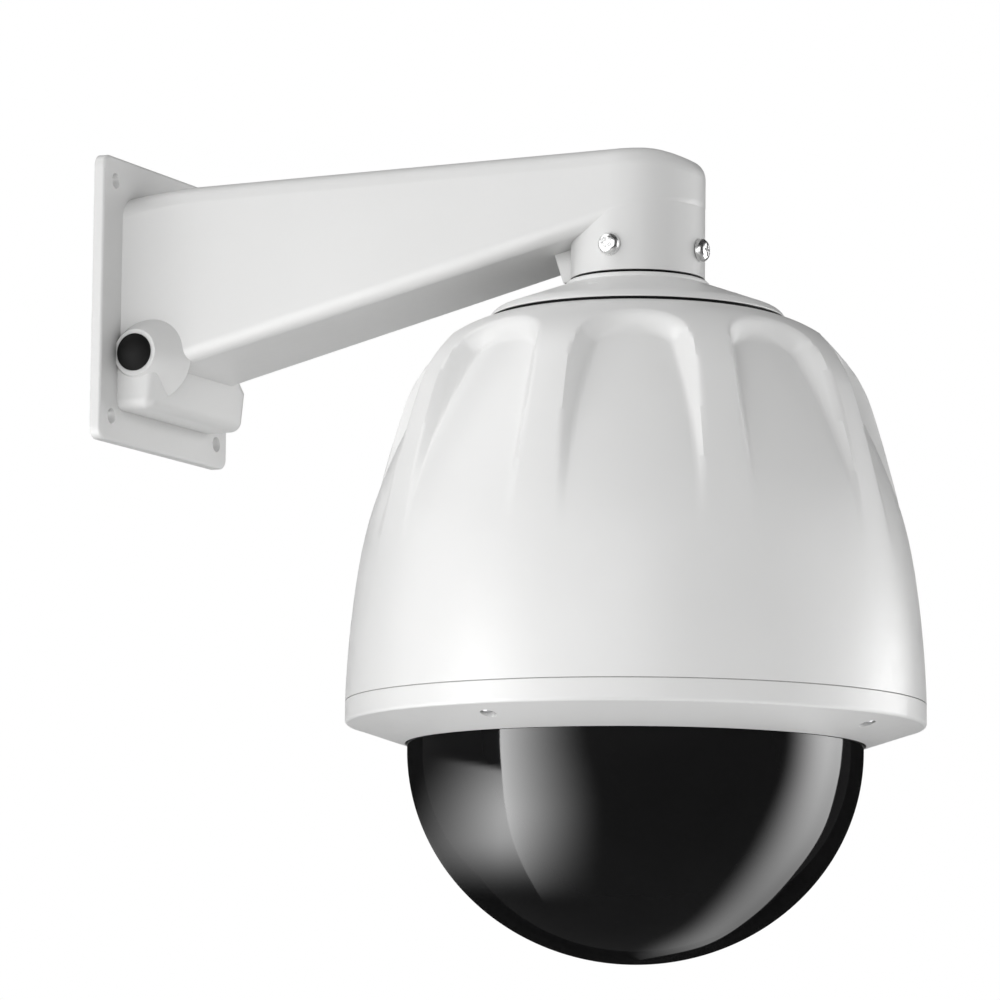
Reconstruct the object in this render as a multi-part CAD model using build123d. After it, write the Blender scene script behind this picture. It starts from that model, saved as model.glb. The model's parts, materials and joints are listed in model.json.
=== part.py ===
from build123d import *
import math
import os

# Security camera housing on its wall bracket.
# All lengths are in millimetres and all angles in degrees.
# Frame: the wall is the plane X = 0, the arm runs along +X and +Z is up.
# The origin is the centre of the four wall holes, on the back of the plate.

os.makedirs("parts", exist_ok=True)

# Clearances
SLIP = 0.30            # between a piece and the one it slides into
SCREW_PLAY = 0.10      # between a screw's shank and its hole
RUNNING = 0.05         # between the fan's shaft and its bearing

# Wall plate
PLATE_WIDTH = 111.4
PLATE_HEIGHT = 123.0
PLATE_THICK = 5.0
PLATE_CORNER = 5.0
PLATE_EDGE_R = 1.2
WALL_HOLE_D = 6.6
WALL_HOLE_SPAN_Y = 92.0
WALL_HOLE_SPAN_Z = 102.0

# Arm
ARM_REACH = 230.0          # wall to the axis of the dome
ARM_WALL = 3.5
ARM_TOP_Z = 50.0           # top of the arm where its flare ends
ARM_TOP_RISE = 1.6         # from there to the end of the arm
ARM_ROOT_TOP_Z = 44.5      # top of the arm at the wall
ARM_HALF_WIDTH = 31.0      # where the flare ends
ROOT_HALF_WIDTH = 44.0     # at the wall
SIDE_FLARE_LENGTH = 30.0   # from the wall
TOP_FLARE_LENGTH = 34.0
UNDERSIDE_Z = -34.3        # the sloped underside, carried back to the wall
UNDERSIDE_SLOPE = 0.235
TOP_EDGE_R = 8.0
LOWER_EDGE_R = 6.0
END_DROP = 8.0             # how far the top rolls down at the arm's end
END_ROLL_LENGTH = 22.0

# Foot under the arm
FOOT_HALF_WIDTH = 41.5
FOOT_SHOULDER_Z = -29.0     # where the foot's sides lean in towards the arm
FOOT_TOP_X = 23.2
FOOT_TOE_X = 21.2
FOOT_BOTTOM_Z = -47.5
FOOT_CORNER_R = 5.0
FOOT_EDGE_R = 4.5
FOOT_ROOT_Z = -21.0             # top of the foot, inside the arm

# Collar
COLLAR_R = 28.0
NOSE_STEP = 0.1            # how far the cast arm's end stands out over the turned collar
COLLAR_BOTTOM_Z = -0.5
COLLAR_TOP_Z = 28.5
COLLAR_SCREW_Z = 10.2
COLLAR_SCREW_ANGLES = (-90.0, 0.0, 90.0)
GUSSET_REACH = 7.5
GUSSET_FOOT = 3.0
GUSSET_THICK = 14.0

# Side conduit hole and its rubber plug
CONDUIT_X = 13.9
CONDUIT_Z = -23.5
CONDUIT_HOLE_D = 12.0
CONDUIT_BOSS_D = 20.0
CONDUIT_BOSS_DRAFT = 0.6       # how much wider it gets, per mm towards the arm
CONDUIT_BOSS_Y = 42.8      # face of the boss, out from the arm's middle
PLUG_FLANGE_D = 16.0
PLUG_FLANGE_THICK = 2.0
PLUG_CROWN = 2.2
PLUG_SHANK_LENGTH = 12.0
PLUG_SHANK_WALL = 2.0

# Neck pipe and cap
PIPE_R = COLLAR_R - ARM_WALL - SLIP
PIPE_WALL = 3.2
PIPE_TOP_Z = 25.0
SEAL_HEIGHT = 1.3
SEAL_INSET = 1.2
CAP_HUB_R = 30.0
CAP_HUB_HEIGHT = 1.8
CAP_RIM_R = 61.5
CAP_RIM_Z = -17.6          # bottom of the cap's rim
CAP_RIM_FACE = 0.6         # upright part of the rim
CAP_EDGE_R = 57.5          # where the slope turns down into the rim
CAP_EDGE_Z = -13.6
CAP_HUB_ROUND = 0.8
CAP_WALL = 3.2
CAP_SEAT_WIDTH = 13.0
CAP_SCREW_GRIP = 9.0
CAP_BOSS_R = 5.0
CAP_SCREW_CIRCLE_R = 40.0
CAP_SCREW_COUNT = 4
GASKET_THICK = 1.2

# Sun shield: two tangent arcs turned about the dome's axis
SHIELD_WALL = 3.0
SHIELD_TOP_ANGLE = 13.5        # of the surface below level, where it leaves the cap
SHIELD_SHOULDER_R = 50.6
SHIELD_SHOULDER_TURN = 58.3
SHIELD_SIDE_R = 437.0
SHIELD_HEIGHT = 158.7           # from the cap's gasket to the lower edge
SHIELD_THROAT_INSET = 11.5      # of its hole from the edge of the cap

# Arched pockets in the shield
POCKET_COUNT = 9
POCKET_FIRST_ANGLE = -66.8     # of the pocket that faces the photograph, from +X
POCKET_TOP_OUT = 16.5          # of the floor's top under the arch, from the cap's edge
POCKET_TOP_DROP = 15.5         # and below it
POCKET_TOP_ANGLE = 56.2        # of the floor below level, at its top
POCKET_FLOOR_R = 261.0
POCKET_LENGTH = 86.4           # along the floor's chord, to where it fades out
POCKET_TOP_HALF_WIDTH = 15.2   # of the floor at its top, were the arch not round
POCKET_END_HALF_WIDTH = 31.0
POCKET_SIDE_SPREAD = 0.85      # how much wider the arch gets, per mm of height over the floor
POCKET_TOP_SPREAD = 2.3        # how much taller

# Trim ring round the dome
RING_WALL = 3.0                # under the ring
RING_HEIGHT = 9.5              # outer face, from the shield's edge down
RING_EDGE_ROUND = 1.6
RING_SEAM = 0.5                # chamfer that makes the seam under the shield
RING_FALL = 7.6                # of the sloped underside, to the edge of the dome opening
RING_SEAT_DROP = 11.5          # of the dome's seat below the shield's edge
RING_SPIGOT_HEIGHT = 4.0
RING_SPIGOT_WALL = 1.6
UPSTAND_WALL = 2.4             # carries the ring gasket
UPSTAND_OVERLAP = 0.2          # how far the screw columns run into it
RING_SCREW_INSET = 10.5        # of the screws from the ring's outside
RING_SCREW_FIRST_ANGLE = -97.7
RING_SCREW_COUNT = 4
RING_SCREW_COLUMN_R = 4.2
RING_SCREW_RECESS = 2.4
RING_SCREW_RECESS_R = 3.4
RING_SCREW_BOSS = 3.0
RING_GASKET_THICK = 1.5

# Dome
DOME_DEPTH = 87.5              # of the elliptical part
DOME_WALL = 2.6
DOME_SKIRT = 2.2               # straight part that shows under the ring's lip
DOME_FLANGE_WIDTH = 8.0
DOME_FLANGE_PLAY = 0.8         # between the flange and the ring's upstand
DOME_FLANGE_THICK = 2.8
DOME_PLAY = 0.5                # all round, in the ring's opening
DOME_GASKET_THICK = 1.0
CLAMP_THICK = 2.0
CLAMP_OVERHANG = 1.2           # of the clamp ring inside the dome's skirt
CLAMP_SCREW_INSET = 3.6        # of the screws from the flange's edge
CLAMP_SCREW_COUNT = 8
CLAMP_SCREW_DEPTH = 3.0        # into the ring

# Inner pot
POT_WALL = 2.0
POT_TOP_WALL = 2.5
POT_TOP_INSET = 0.5            # of the pot's top from the cap's edge
POT_BEND_R = 8.0
POT_SHOULDER_GAP = 8.0         # between the pot's shoulder and the top of the pockets
POT_SHOULDER_DROP = 2.7
POT_MID_INSET = 12.5           # of the pot's middle bend from its side
POT_MID_RISE = 101.5           # of that bend over the flange
POT_SIDE_STEP = 0.4            # of the pot's side out from the ring's upstand
POT_SIDE_RISE = 52.5
POT_FLANGE_PLAY = 2.7          # between the flange and the shield's inside
POT_FLANGE_THICK = 2.6
POT_THROAT_R = 19.0

# Module plate, hung under the pot's top
STANDOFF_LENGTH = 26.0
STANDOFF_FLATS = 7.0
STANDOFF_CIRCLE_R = 52.0
STANDOFF_COUNT = 4
STANDOFF_FIRST_ANGLE = 45.0
STANDOFF_THREAD_DEPTH = 9.0
DISC_R = 68.0
DISC_THICK = 2.5
MODULE_HOLE_D = 4.3
MODULE_HOLE_CIRCLE_R = 24.0
MODULE_HOLE_COUNT = 4
MODULE_HOLE_FIRST_ANGLE = 45.0

# Electronics on the plate
BOARD_LENGTH = 62.0
BOARD_WIDTH = 34.0
BOARD_THICK = 1.6
BOARD_GAP = 5.0
BOARD_CENTRE_Y = 30.0
BOARD_HOLE_INSET = 4.0
PILLAR_R = 2.6
PILLAR_PIN_R = 1.3
PILLAR_CLIP_R = 1.9
PILLAR_CLIP_HEIGHT = 1.2
TERMINAL_WAYS = 8
TERMINAL_PITCH = 5.0
TERMINAL_DEPTH = 8.0
TERMINAL_HEIGHT = 8.5
TERMINAL_WELL_R = 1.7
TERMINAL_WELL_DEPTH = 3.0
TERMINAL_ENTRY = 3.2
TERMINAL_INSET_Y = 7.0
TRANSFORMER_LENGTH = 26.0
TRANSFORMER_WIDTH = 16.0
TRANSFORMER_HEIGHT = 12.0
TRANSFORMER_ROUND = 1.5

# Plug-in socket for the camera module, through the middle of the plate
SOCKET_LENGTH = 20.0
SOCKET_WIDTH = 9.0
SOCKET_DEPTH = 8.0
SOCKET_WALL = 1.2
SOCKET_FLANGE = 3.5
SOCKET_FLANGE_THICK = 1.5
SOCKET_BACK = 5.0
SOCKET_PINS = 6
SOCKET_PIN_PITCH = 2.54
SOCKET_PIN_R = 0.5

# Fan under the plate
FAN_SIZE = 40.0
FAN_CORNER = 3.0
FAN_THICK = 11.0
FAN_BORE_R = 18.6
FAN_HOLE_SPAN = 32.0
FAN_CENTRE_Y = -43.0
FAN_TIP_R = 17.9
FAN_HUB_R = 8.5
FAN_HUB_WALL = 1.2
FAN_HUB_DROP = 1.5             # of the hub's top below the frame's
FAN_SPOKES = 3
FAN_SPOKE_WIDTH = 3.0
FAN_SPOKE_THICK = 1.6
FAN_HUB_LIFT = 1.0             # of the hub's rim over the spokes
FAN_BLADES = 7
FAN_BLADE_PITCH = 38.0
FAN_BLADE_CHORD = 9.5
FAN_BLADE_THICK = 1.1
FAN_SHAFT_R = 1.5
FAN_BEARING_R = 3.2
FAN_BEARING_GAP = 0.7

# Heater beside the fan
HEATER_LENGTH = 50.0
HEATER_WIDTH = 22.0
HEATER_BASE = 4.0
HEATER_FIN_LENGTH = 36.0
HEATER_FIN_HEIGHT = 12.0
HEATER_FINS = 6
HEATER_FIN_THICK = 1.4
HEATER_CENTRE_Y = 46.0
HEATER_SCREW_SPAN = 43.0
THERMOSTAT_R = 8.0
THERMOSTAT_HEIGHT = 6.0
THERMOSTAT_X = -44.0
THERMOSTAT_Y = 20.0
THERMOSTAT_TAB = 6.0

# Screws: (shank radius, head radius, head height)
SCREW_M5 = (2.5, 4.75, 3.6)
SCREW_M4 = (2.0, 3.6, 2.6)
SCREW_M3 = (1.5, 2.75, 2.0)

# Heights and radii that follow from the sizes above
SEAL_BOTTOM_Z = COLLAR_BOTTOM_Z - SEAL_HEIGHT
HUB_EDGE_Z = SEAL_BOTTOM_Z - CAP_HUB_HEIGHT
SHIELD_LIP_Z = CAP_RIM_Z - GASKET_THICK
SHIELD_BOTTOM_Z = SHIELD_LIP_Z - SHIELD_HEIGHT
SHIELD_THROAT_R = CAP_RIM_R - SHIELD_THROAT_INSET
POCKET_TOP_R = CAP_RIM_R + POCKET_TOP_OUT
POCKET_TOP_Z = SHIELD_LIP_Z - POCKET_TOP_DROP
POT_GASKET_Z = SHIELD_LIP_Z - SHIELD_WALL * math.cos(math.radians(SHIELD_TOP_ANGLE))
POT_TOP_Z = POT_GASKET_Z - GASKET_THICK
POT_CEILING_Z = POT_TOP_Z - POT_TOP_WALL
DISC_TOP_Z = POT_CEILING_Z - STANDOFF_LENGTH
DISC_BOTTOM_Z = DISC_TOP_Z - DISC_THICK
BOARD_BOTTOM_Z = DISC_TOP_Z + BOARD_GAP
BOARD_TOP_Z = BOARD_BOTTOM_Z + BOARD_THICK
RING_EDGE_Z = SHIELD_BOTTOM_Z - RING_HEIGHT
RING_LIP_Z = RING_EDGE_Z - RING_FALL
RING_SEAT_Z = SHIELD_BOTTOM_Z - RING_SEAT_DROP
FLANGE_BOTTOM_Z = RING_SEAT_Z + DOME_GASKET_THICK
FLANGE_TOP_Z = FLANGE_BOTTOM_Z + DOME_FLANGE_THICK
CLAMP_TOP_Z = FLANGE_TOP_Z + CLAMP_THICK
UPSTAND_TOP_Z = SHIELD_BOTTOM_Z - RING_GASKET_THICK
FAN_BOTTOM_Z = DISC_BOTTOM_Z - FAN_THICK
DOME_CENTRE_Z = RING_LIP_Z - DOME_SKIRT
POT_SHOULDER_Z = POCKET_TOP_Z - POT_SHOULDER_DROP
POT_MID_Z = SHIELD_BOTTOM_Z + POT_MID_RISE
POT_SIDE_Z = SHIELD_BOTTOM_Z + POT_SIDE_RISE

DOME_AXIS = Pos(ARM_REACH, 0, 0)


def shield_side(inset):
    """Shoulder arc and side arc of the shield's profile, drawn inside the outer ones."""
    start_angle = math.radians(SHIELD_TOP_ANGLE)
    start = (
        CAP_RIM_R - inset * math.sin(start_angle),
        SHIELD_LIP_Z - inset * math.cos(start_angle),
    )
    tangent = (math.cos(start_angle), -math.sin(start_angle))
    shoulder = JernArc(start, tangent, SHIELD_SHOULDER_R - inset, -SHIELD_SHOULDER_TURN)
    side_r = SHIELD_SIDE_R - inset
    join_angle = math.radians(SHIELD_TOP_ANGLE + SHIELD_SHOULDER_TURN)
    drop = (shoulder @ 1).Y - SHIELD_BOTTOM_Z
    end_angle = math.acos(math.cos(join_angle) - drop / side_r)
    side = JernArc(shoulder @ 1, shoulder % 1, side_r, -math.degrees(end_angle - join_angle))
    return shoulder + side


# Radii round the shield's lower edge, from the outside in
RING_R = (shield_side(0) @ 1).X
POT_FLANGE_R = RING_R - SHIELD_WALL - POT_FLANGE_PLAY
RING_SCREW_CIRCLE_R = RING_R - RING_SCREW_INSET
UPSTAND_R = RING_SCREW_CIRCLE_R - RING_SCREW_COLUMN_R - UPSTAND_WALL + UPSTAND_OVERLAP
DOME_FLANGE_R = UPSTAND_R - DOME_FLANGE_PLAY
DOME_R = DOME_FLANGE_R - DOME_FLANGE_WIDTH
OPENING_R = DOME_R + DOME_PLAY
CLAMP_INNER_R = DOME_R - CLAMP_OVERHANG
CLAMP_SCREW_CIRCLE_R = DOME_FLANGE_R - CLAMP_SCREW_INSET
POT_SIDE_R = UPSTAND_R + POT_SIDE_STEP
POT_MID_R = POT_SIDE_R - POT_MID_INSET
POT_SHOULDER_R = POCKET_TOP_R - POT_SHOULDER_GAP
POT_TOP_R = CAP_RIM_R - POT_TOP_INSET


def save(node, shape):
    """Write one node to its file."""
    export_step(shape, f"parts/{node}.step")


def turned(points_rz):
    """Solid turned from straight-sided (radius, height) points."""
    corners = [(r, 0, z) for r, z in points_rz]
    return revolve(make_face(Polyline(*corners, close=True)), Axis.Z)


def tube(outer_r, inner_r, bottom_z, top_z):
    """Upright ring with square edges."""
    corners = [(inner_r, bottom_z), (outer_r, bottom_z), (outer_r, top_z), (inner_r, top_z)]
    return turned(corners)


def rod(radius, bottom_z, top_z, x=0.0, y=0.0):
    """Upright cylinder between two heights."""
    return Pos(x, y, (bottom_z + top_z) / 2) * Cylinder(radius, top_z - bottom_z)


def polar(count, radius, first_angle=0.0):
    """Places evenly spread on a circle about Z, each with its X pointing outwards."""
    pitch = 360 / count
    return [Rot(0, 0, first_angle + k * pitch) * Pos(radius, 0, 0) for k in range(count)]


def pan_screw(size, length):
    """Pan-head screw: the head sits on Z = 0 and the shank runs down."""
    shank_r, head_r, head_height = size
    outline = make_face(
        Polyline((0, 0, head_height), (head_r * 0.45, 0, head_height))
        + TangentArc((head_r * 0.45, 0, head_height), (head_r, 0, head_height * 0.3), tangent=(1, 0, 0))
        + Polyline(
            (head_r, 0, head_height * 0.3),
            (head_r, 0, 0),
            (shank_r, 0, 0),
            (shank_r, 0, -length),
            (0, 0, -length),
            (0, 0, head_height),
        )
    )
    screw = revolve(outline, Axis.Z)
    slot_width = head_r * 0.22
    slot_length = head_r * 1.15
    slot_depth = head_height * 0.45
    for turn in (0, 90):
        screw -= Pos(0, 0, head_height) * Rot(0, 0, turn) * Box(slot_length, slot_width, 2 * slot_depth)
    return screw


# Bracket


def arm_plan(inset):
    """The arm seen from above, pulled in by the inset."""
    side = ARM_HALF_WIDTH - inset
    root = ROOT_HALF_WIDTH - inset
    nose_r = COLLAR_R + NOSE_STEP - inset
    lean = math.asin((side - nose_r) / (ARM_REACH - SIDE_FLARE_LENGTH))
    end_x = ARM_REACH + nose_r * math.sin(lean)
    end_y = nose_r * math.cos(lean)
    half = [
        Line((-PLATE_THICK, root), (0, root)),
        TangentArc(
            (SIDE_FLARE_LENGTH, side), (0, root), tangent=(-math.cos(lean), math.sin(lean))
        ),
        Line((SIDE_FLARE_LENGTH, side), (end_x, end_y)),
    ]
    mirrored = [mirror(edge, Plane.XZ) for edge in half]
    nose = ThreePointArc((end_x, end_y), (ARM_REACH + nose_r, 0), (end_x, -end_y))
    back = Line((-PLATE_THICK, root), (-PLATE_THICK, -root))
    return make_face(Curve() + half + mirrored + nose + back)


def underside_z(x):
    """Height of the arm's sloped underside."""
    return UNDERSIDE_Z + UNDERSIDE_SLOPE * x


def arm_side():
    """The arm seen from the side, running back past the wall."""
    back_x = -2 * PLATE_THICK
    end_x = ARM_REACH + COLLAR_R + ARM_WALL
    roll_x = end_x - END_ROLL_LENGTH
    top_end_z = ARM_TOP_Z + ARM_TOP_RISE
    rise = math.atan2(ARM_TOP_RISE, roll_x - TOP_FLARE_LENGTH)
    along_top = (math.cos(rise), math.sin(rise))
    top = [
        Line((back_x, ARM_ROOT_TOP_Z), (0, ARM_ROOT_TOP_Z)),
        TangentArc(
            (TOP_FLARE_LENGTH, ARM_TOP_Z),
            (0, ARM_ROOT_TOP_Z),
            tangent=(-along_top[0], -along_top[1]),
        ),
        Line((TOP_FLARE_LENGTH, ARM_TOP_Z), (roll_x, top_end_z)),
        TangentArc((roll_x, top_end_z), (end_x, top_end_z - END_DROP), tangent=along_top),
    ]
    rest = Polyline(
        (end_x, top_end_z - END_DROP),
        (end_x, underside_z(end_x)),
        (back_x, underside_z(back_x)),
        (back_x, ARM_ROOT_TOP_Z),
    )
    return make_face(Curve() + top + rest)


def foot_side():
    """The foot seen from the side, running up into the arm."""
    back_x = -2 * PLATE_THICK
    lean = (FOOT_TOP_X - FOOT_TOE_X) / (underside_z(FOOT_TOP_X) - FOOT_BOTTOM_Z)
    top_x = FOOT_TOP_X + (FOOT_ROOT_Z - underside_z(FOOT_TOP_X)) * lean
    outline = make_face(
        Polyline(
            (back_x, FOOT_ROOT_Z),
            (back_x, FOOT_BOTTOM_Z),
            (FOOT_TOE_X, FOOT_BOTTOM_Z),
            (top_x, FOOT_ROOT_Z),
            close=True,
        )
    )
    toe = outline.vertices().sort_by_distance(Vector(FOOT_TOE_X, FOOT_BOTTOM_Z, 0))[0]
    return fillet(toe, FOOT_CORNER_R)


def foot_block(inset):
    """The foot with square edges, its sides leaning in to the arm above its shoulders."""
    half = FOOT_HALF_WIDTH - inset
    root_half = ARM_HALF_WIDTH - NOSE_STEP - inset
    low_z = 2 * FOOT_BOTTOM_Z
    front = make_face(
        Polyline(
            (-half, low_z),
            (half, low_z),
            (half, FOOT_SHOULDER_Z),
            (root_half, FOOT_ROOT_Z),
            (-root_half, FOOT_ROOT_Z),
            (-half, FOOT_SHOULDER_Z),
            close=True,
        )
    )
    side = foot_side()
    if inset > 0:
        side = offset(side, -inset, kind=Kind.INTERSECTION)
    across = extrude(Plane.XZ * side, PLATE_WIDTH, both=True)
    return across & extrude(Plane.YZ * front, PLATE_WIDTH, both=True)


def in_plan(side_view, inset):
    """A side view run across the arm and cut to the arm's plan, both pulled in by the inset."""
    if inset > 0:
        side_view = offset(side_view, -inset, kind=Kind.INTERSECTION)
    tall = 4 * PLATE_HEIGHT
    plan = extrude(Pos(0, 0, -tall / 2) * arm_plan(inset), tall)
    return plan & extrude(Plane.XZ * side_view, tall / 2, both=True)


def along_arm(edge):
    """True for an edge in front of the wall that doesn't run straight across the arm."""
    box = edge.bounding_box()
    across = box.size.X < 0.01 and box.size.Z < 0.01
    return box.max.X > 0.01 and not across


def arm():
    """The arm's outside with its top rim and its two lower edges rounded."""
    block = split(in_plan(arm_side(), 0), Plane.YZ, keep=Keep.TOP)
    edges = block.edges().filter_by(along_arm)
    rim = edges.filter_by(lambda e: e.bounding_box().min.Z > ARM_ROOT_TOP_Z - END_DROP)
    block = fillet(rim, TOP_EDGE_R)
    edges = block.edges().filter_by(along_arm)
    lower = edges.filter_by(
        lambda e: e.bounding_box().max.Z < COLLAR_R
        and e.bounding_box().max.X < ARM_REACH + COLLAR_R / 2
    )
    return fillet(lower, LOWER_EDGE_R)


def foot():
    """The foot's outside with its front edges rounded."""
    block = split(foot_block(0), Plane.YZ, keep=Keep.TOP)
    edges = block.edges().filter_by(along_arm)
    front = edges.filter_by(lambda e: e.bounding_box().min.X > FOOT_TOE_X - 2 * FOOT_CORNER_R)
    return fillet(front, FOOT_EDGE_R)


def bracket():
    """Die-cast bracket: wall plate, foot, hollow arm and the collar that grips the pipe."""
    plate = Pos(PLATE_THICK / 2, 0, 0) * Box(PLATE_THICK, PLATE_WIDTH, PLATE_HEIGHT)
    plate = fillet(plate.edges().filter_by(Axis.X), PLATE_CORNER)
    plate = fillet(plate.faces().sort_by(Axis.X)[-1].edges(), PLATE_EDGE_R)
    collar = DOME_AXIS * rod(COLLAR_R, COLLAR_BOTTOM_Z, COLLAR_TOP_Z)
    gusset = extrude(Plane.XZ * gusset_outline(), GUSSET_THICK / 2, both=True)
    boss_inner_y = ARM_HALF_WIDTH - ARM_WALL
    boss_height = CONDUIT_BOSS_Y - boss_inner_y
    boss = Pos(CONDUIT_X, -boss_inner_y - boss_height / 2, CONDUIT_Z) * Cone(
        CONDUIT_BOSS_D / 2 + boss_height * CONDUIT_BOSS_DRAFT,
        CONDUIT_BOSS_D / 2,
        boss_height,
        rotation=(90, 0, 0),
    )
    solid = arm() + foot() + plate + collar + gusset + boss

    solid -= in_plan(arm_side(), ARM_WALL)
    solid -= foot_block(ARM_WALL)
    solid -= DOME_AXIS * rod(COLLAR_R - ARM_WALL, COLLAR_BOTTOM_Z - 1, COLLAR_TOP_Z + 1)
    solid -= Pos(CONDUIT_X, -CONDUIT_BOSS_Y, CONDUIT_Z) * Cylinder(
        CONDUIT_HOLE_D / 2, 2 * CONDUIT_BOSS_D, rotation=(90, 0, 0)
    )
    for y in (-WALL_HOLE_SPAN_Y / 2, WALL_HOLE_SPAN_Y / 2):
        for z in (-WALL_HOLE_SPAN_Z / 2, WALL_HOLE_SPAN_Z / 2):
            solid -= Pos(0, y, z) * Cylinder(WALL_HOLE_D / 2, 4 * PLATE_THICK, rotation=(0, 90, 0))
    for place in collar_screw_places():
        solid -= place * Cylinder(SCREW_M5[0] + SCREW_PLAY, 4 * ARM_WALL)
    return solid


def gusset_outline():
    """Web between the arm's underside and the back of the collar."""
    back_x = ARM_REACH - COLLAR_R
    top_x = back_x - GUSSET_REACH
    bottom_x = back_x - GUSSET_FOOT
    top_z = underside_z(top_x) + ARM_WALL / 2
    inner_x = back_x + ARM_WALL / 2
    corners = [
        (top_x, top_z),
        (inner_x, top_z),
        (inner_x, COLLAR_BOTTOM_Z),
        (bottom_x, COLLAR_BOTTOM_Z),
    ]
    return make_face(Polyline(*corners, close=True))


def collar_screw_places():
    """Seats of the collar screws, each with its Z pointing out of the collar."""
    return [
        DOME_AXIS * Rot(0, 0, angle) * Pos(COLLAR_R, 0, COLLAR_SCREW_Z) * Rot(0, 90, 0)
        for angle in COLLAR_SCREW_ANGLES
    ]


def entry_plug():
    """Rubber plug in the side conduit hole: a crowned flange on a hollow shank."""
    flange_r = PLUG_FLANGE_D / 2
    shank_r = CONDUIT_HOLE_D / 2 - SCREW_PLAY
    crown = TangentArc(
        (0, PLUG_FLANGE_THICK + PLUG_CROWN), (flange_r, PLUG_FLANGE_THICK / 2), tangent=(1, 0)
    )
    rest = Polyline(
        (flange_r, PLUG_FLANGE_THICK / 2),
        (flange_r, 0),
        (shank_r, 0),
        (shank_r - PLUG_SHANK_WALL / 2, -PLUG_SHANK_LENGTH),
        (shank_r - PLUG_SHANK_WALL, -PLUG_SHANK_LENGTH),
        (shank_r - PLUG_SHANK_WALL, 0),
        (0, 0),
        (0, PLUG_FLANGE_THICK + PLUG_CROWN),
    )
    plug = revolve(Plane.XZ * make_face(crown + rest), Axis.Z)
    return Pos(CONDUIT_X, -CONDUIT_BOSS_Y, CONDUIT_Z) * Rot(90, 0, 0) * plug


def collar_screws():
    screw = pan_screw(SCREW_M5, COLLAR_R - PIPE_R)
    return Compound([place * screw for place in collar_screw_places()])


# Neck


def neck_seal():
    return DOME_AXIS * tube(COLLAR_R - SEAL_INSET, PIPE_R + SLIP, SEAL_BOTTOM_Z, COLLAR_BOTTOM_Z)


def neck_cap():
    """Cast cap: the pipe, a hub, a sloped skirt with a rounded rim and four screw bosses."""
    bore_r = PIPE_R - PIPE_WALL
    seat_r = CAP_RIM_R - CAP_SEAT_WIDTH
    fall = (HUB_EDGE_Z - CAP_EDGE_Z) / (CAP_EDGE_R - CAP_HUB_R)
    drop = CAP_WALL * math.hypot(1, fall)

    def under(r):
        return HUB_EDGE_Z - (r - CAP_HUB_R) * fall - drop

    upper = Polyline(
        (bore_r, PIPE_TOP_Z),
        (PIPE_R, PIPE_TOP_Z),
        (PIPE_R, SEAL_BOTTOM_Z),
        (CAP_HUB_R - CAP_HUB_ROUND, SEAL_BOTTOM_Z),
        (CAP_HUB_R, SEAL_BOTTOM_Z - CAP_HUB_ROUND),
        (CAP_HUB_R, HUB_EDGE_Z),
        (CAP_EDGE_R, CAP_EDGE_Z),
    )
    rim = TangentArc(
        (CAP_EDGE_R, CAP_EDGE_Z), (CAP_RIM_R, CAP_RIM_Z + CAP_RIM_FACE), tangent=(1, -fall)
    )
    lower = Polyline(
        (CAP_RIM_R, CAP_RIM_Z + CAP_RIM_FACE),
        (CAP_RIM_R, CAP_RIM_Z),
        (seat_r, CAP_RIM_Z),
        (seat_r, under(seat_r)),
        (bore_r, under(bore_r)),
        (bore_r, PIPE_TOP_Z),
    )
    cap = revolve(Plane.XZ * make_face(upper + rim + lower), Axis.Z)
    boss_top_z = under(CAP_SCREW_CIRCLE_R - CAP_BOSS_R)
    hole_r = SCREW_M4[0] + SCREW_PLAY
    for place in polar(CAP_SCREW_COUNT, CAP_SCREW_CIRCLE_R):
        cap += place * rod(CAP_BOSS_R, POT_TOP_Z, boss_top_z)
    for place in polar(CAP_SCREW_COUNT, CAP_SCREW_CIRCLE_R):
        cap -= place * rod(hole_r, POT_TOP_Z - 1, POT_TOP_Z + CAP_SCREW_GRIP + 1)
    return DOME_AXIS * cap


def cap_gasket():
    return DOME_AXIS * tube(CAP_RIM_R - 1, SHIELD_THROAT_R, SHIELD_LIP_Z, CAP_RIM_Z)


def pot_gasket():
    return DOME_AXIS * tube(POT_TOP_R - POT_WALL, SHIELD_THROAT_R, POT_TOP_Z, POT_GASKET_Z)


# Sun shield


def shield_form(inset):
    """Solid inside the shield's profile, before its pockets."""
    curve = shield_side(inset)
    top = curve @ 0
    bottom = curve @ 1
    rest = Polyline(bottom, (0, bottom.Y), (0, top.Y), top)
    return revolve(Plane.XZ * make_face(curve + rest), Axis.Z)


def pocket_floor(inset):
    """Solid inside the turned surface that makes the pockets' floors."""
    angle = math.radians(POCKET_TOP_ANGLE)
    along = (math.cos(angle), -math.sin(angle))
    start = (POCKET_TOP_R - inset * math.sin(angle), POCKET_TOP_Z - inset * math.cos(angle))
    back = POCKET_LENGTH / 2
    top = (start[0] - back * along[0], start[1] - back * along[1])
    turn = math.degrees(1.3 * POCKET_LENGTH / POCKET_FLOOR_R)
    floor = JernArc(start, along, POCKET_FLOOR_R - inset, -turn)
    end = floor @ 1
    rest = Polyline(end, (0, end.Y), (0, top[1]), top, start)
    return revolve(Plane.XZ * make_face(floor + rest), Axis.Z)


def pocket_plane(height):
    """Plane over the chord of a pocket's floor, for a pocket that faces +X.

    Its Y runs up the shield and its origin is under the arch's top.
    """
    turn = POCKET_LENGTH / POCKET_FLOOR_R / 2
    chord = math.radians(POCKET_TOP_ANGLE) + turn
    normal = Vector(math.sin(chord), 0, math.cos(chord))
    origin = Vector(POCKET_TOP_R, 0, POCKET_TOP_Z) + normal * height
    return Plane(origin=origin, x_dir=(0, 1, 0), z_dir=normal)


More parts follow.
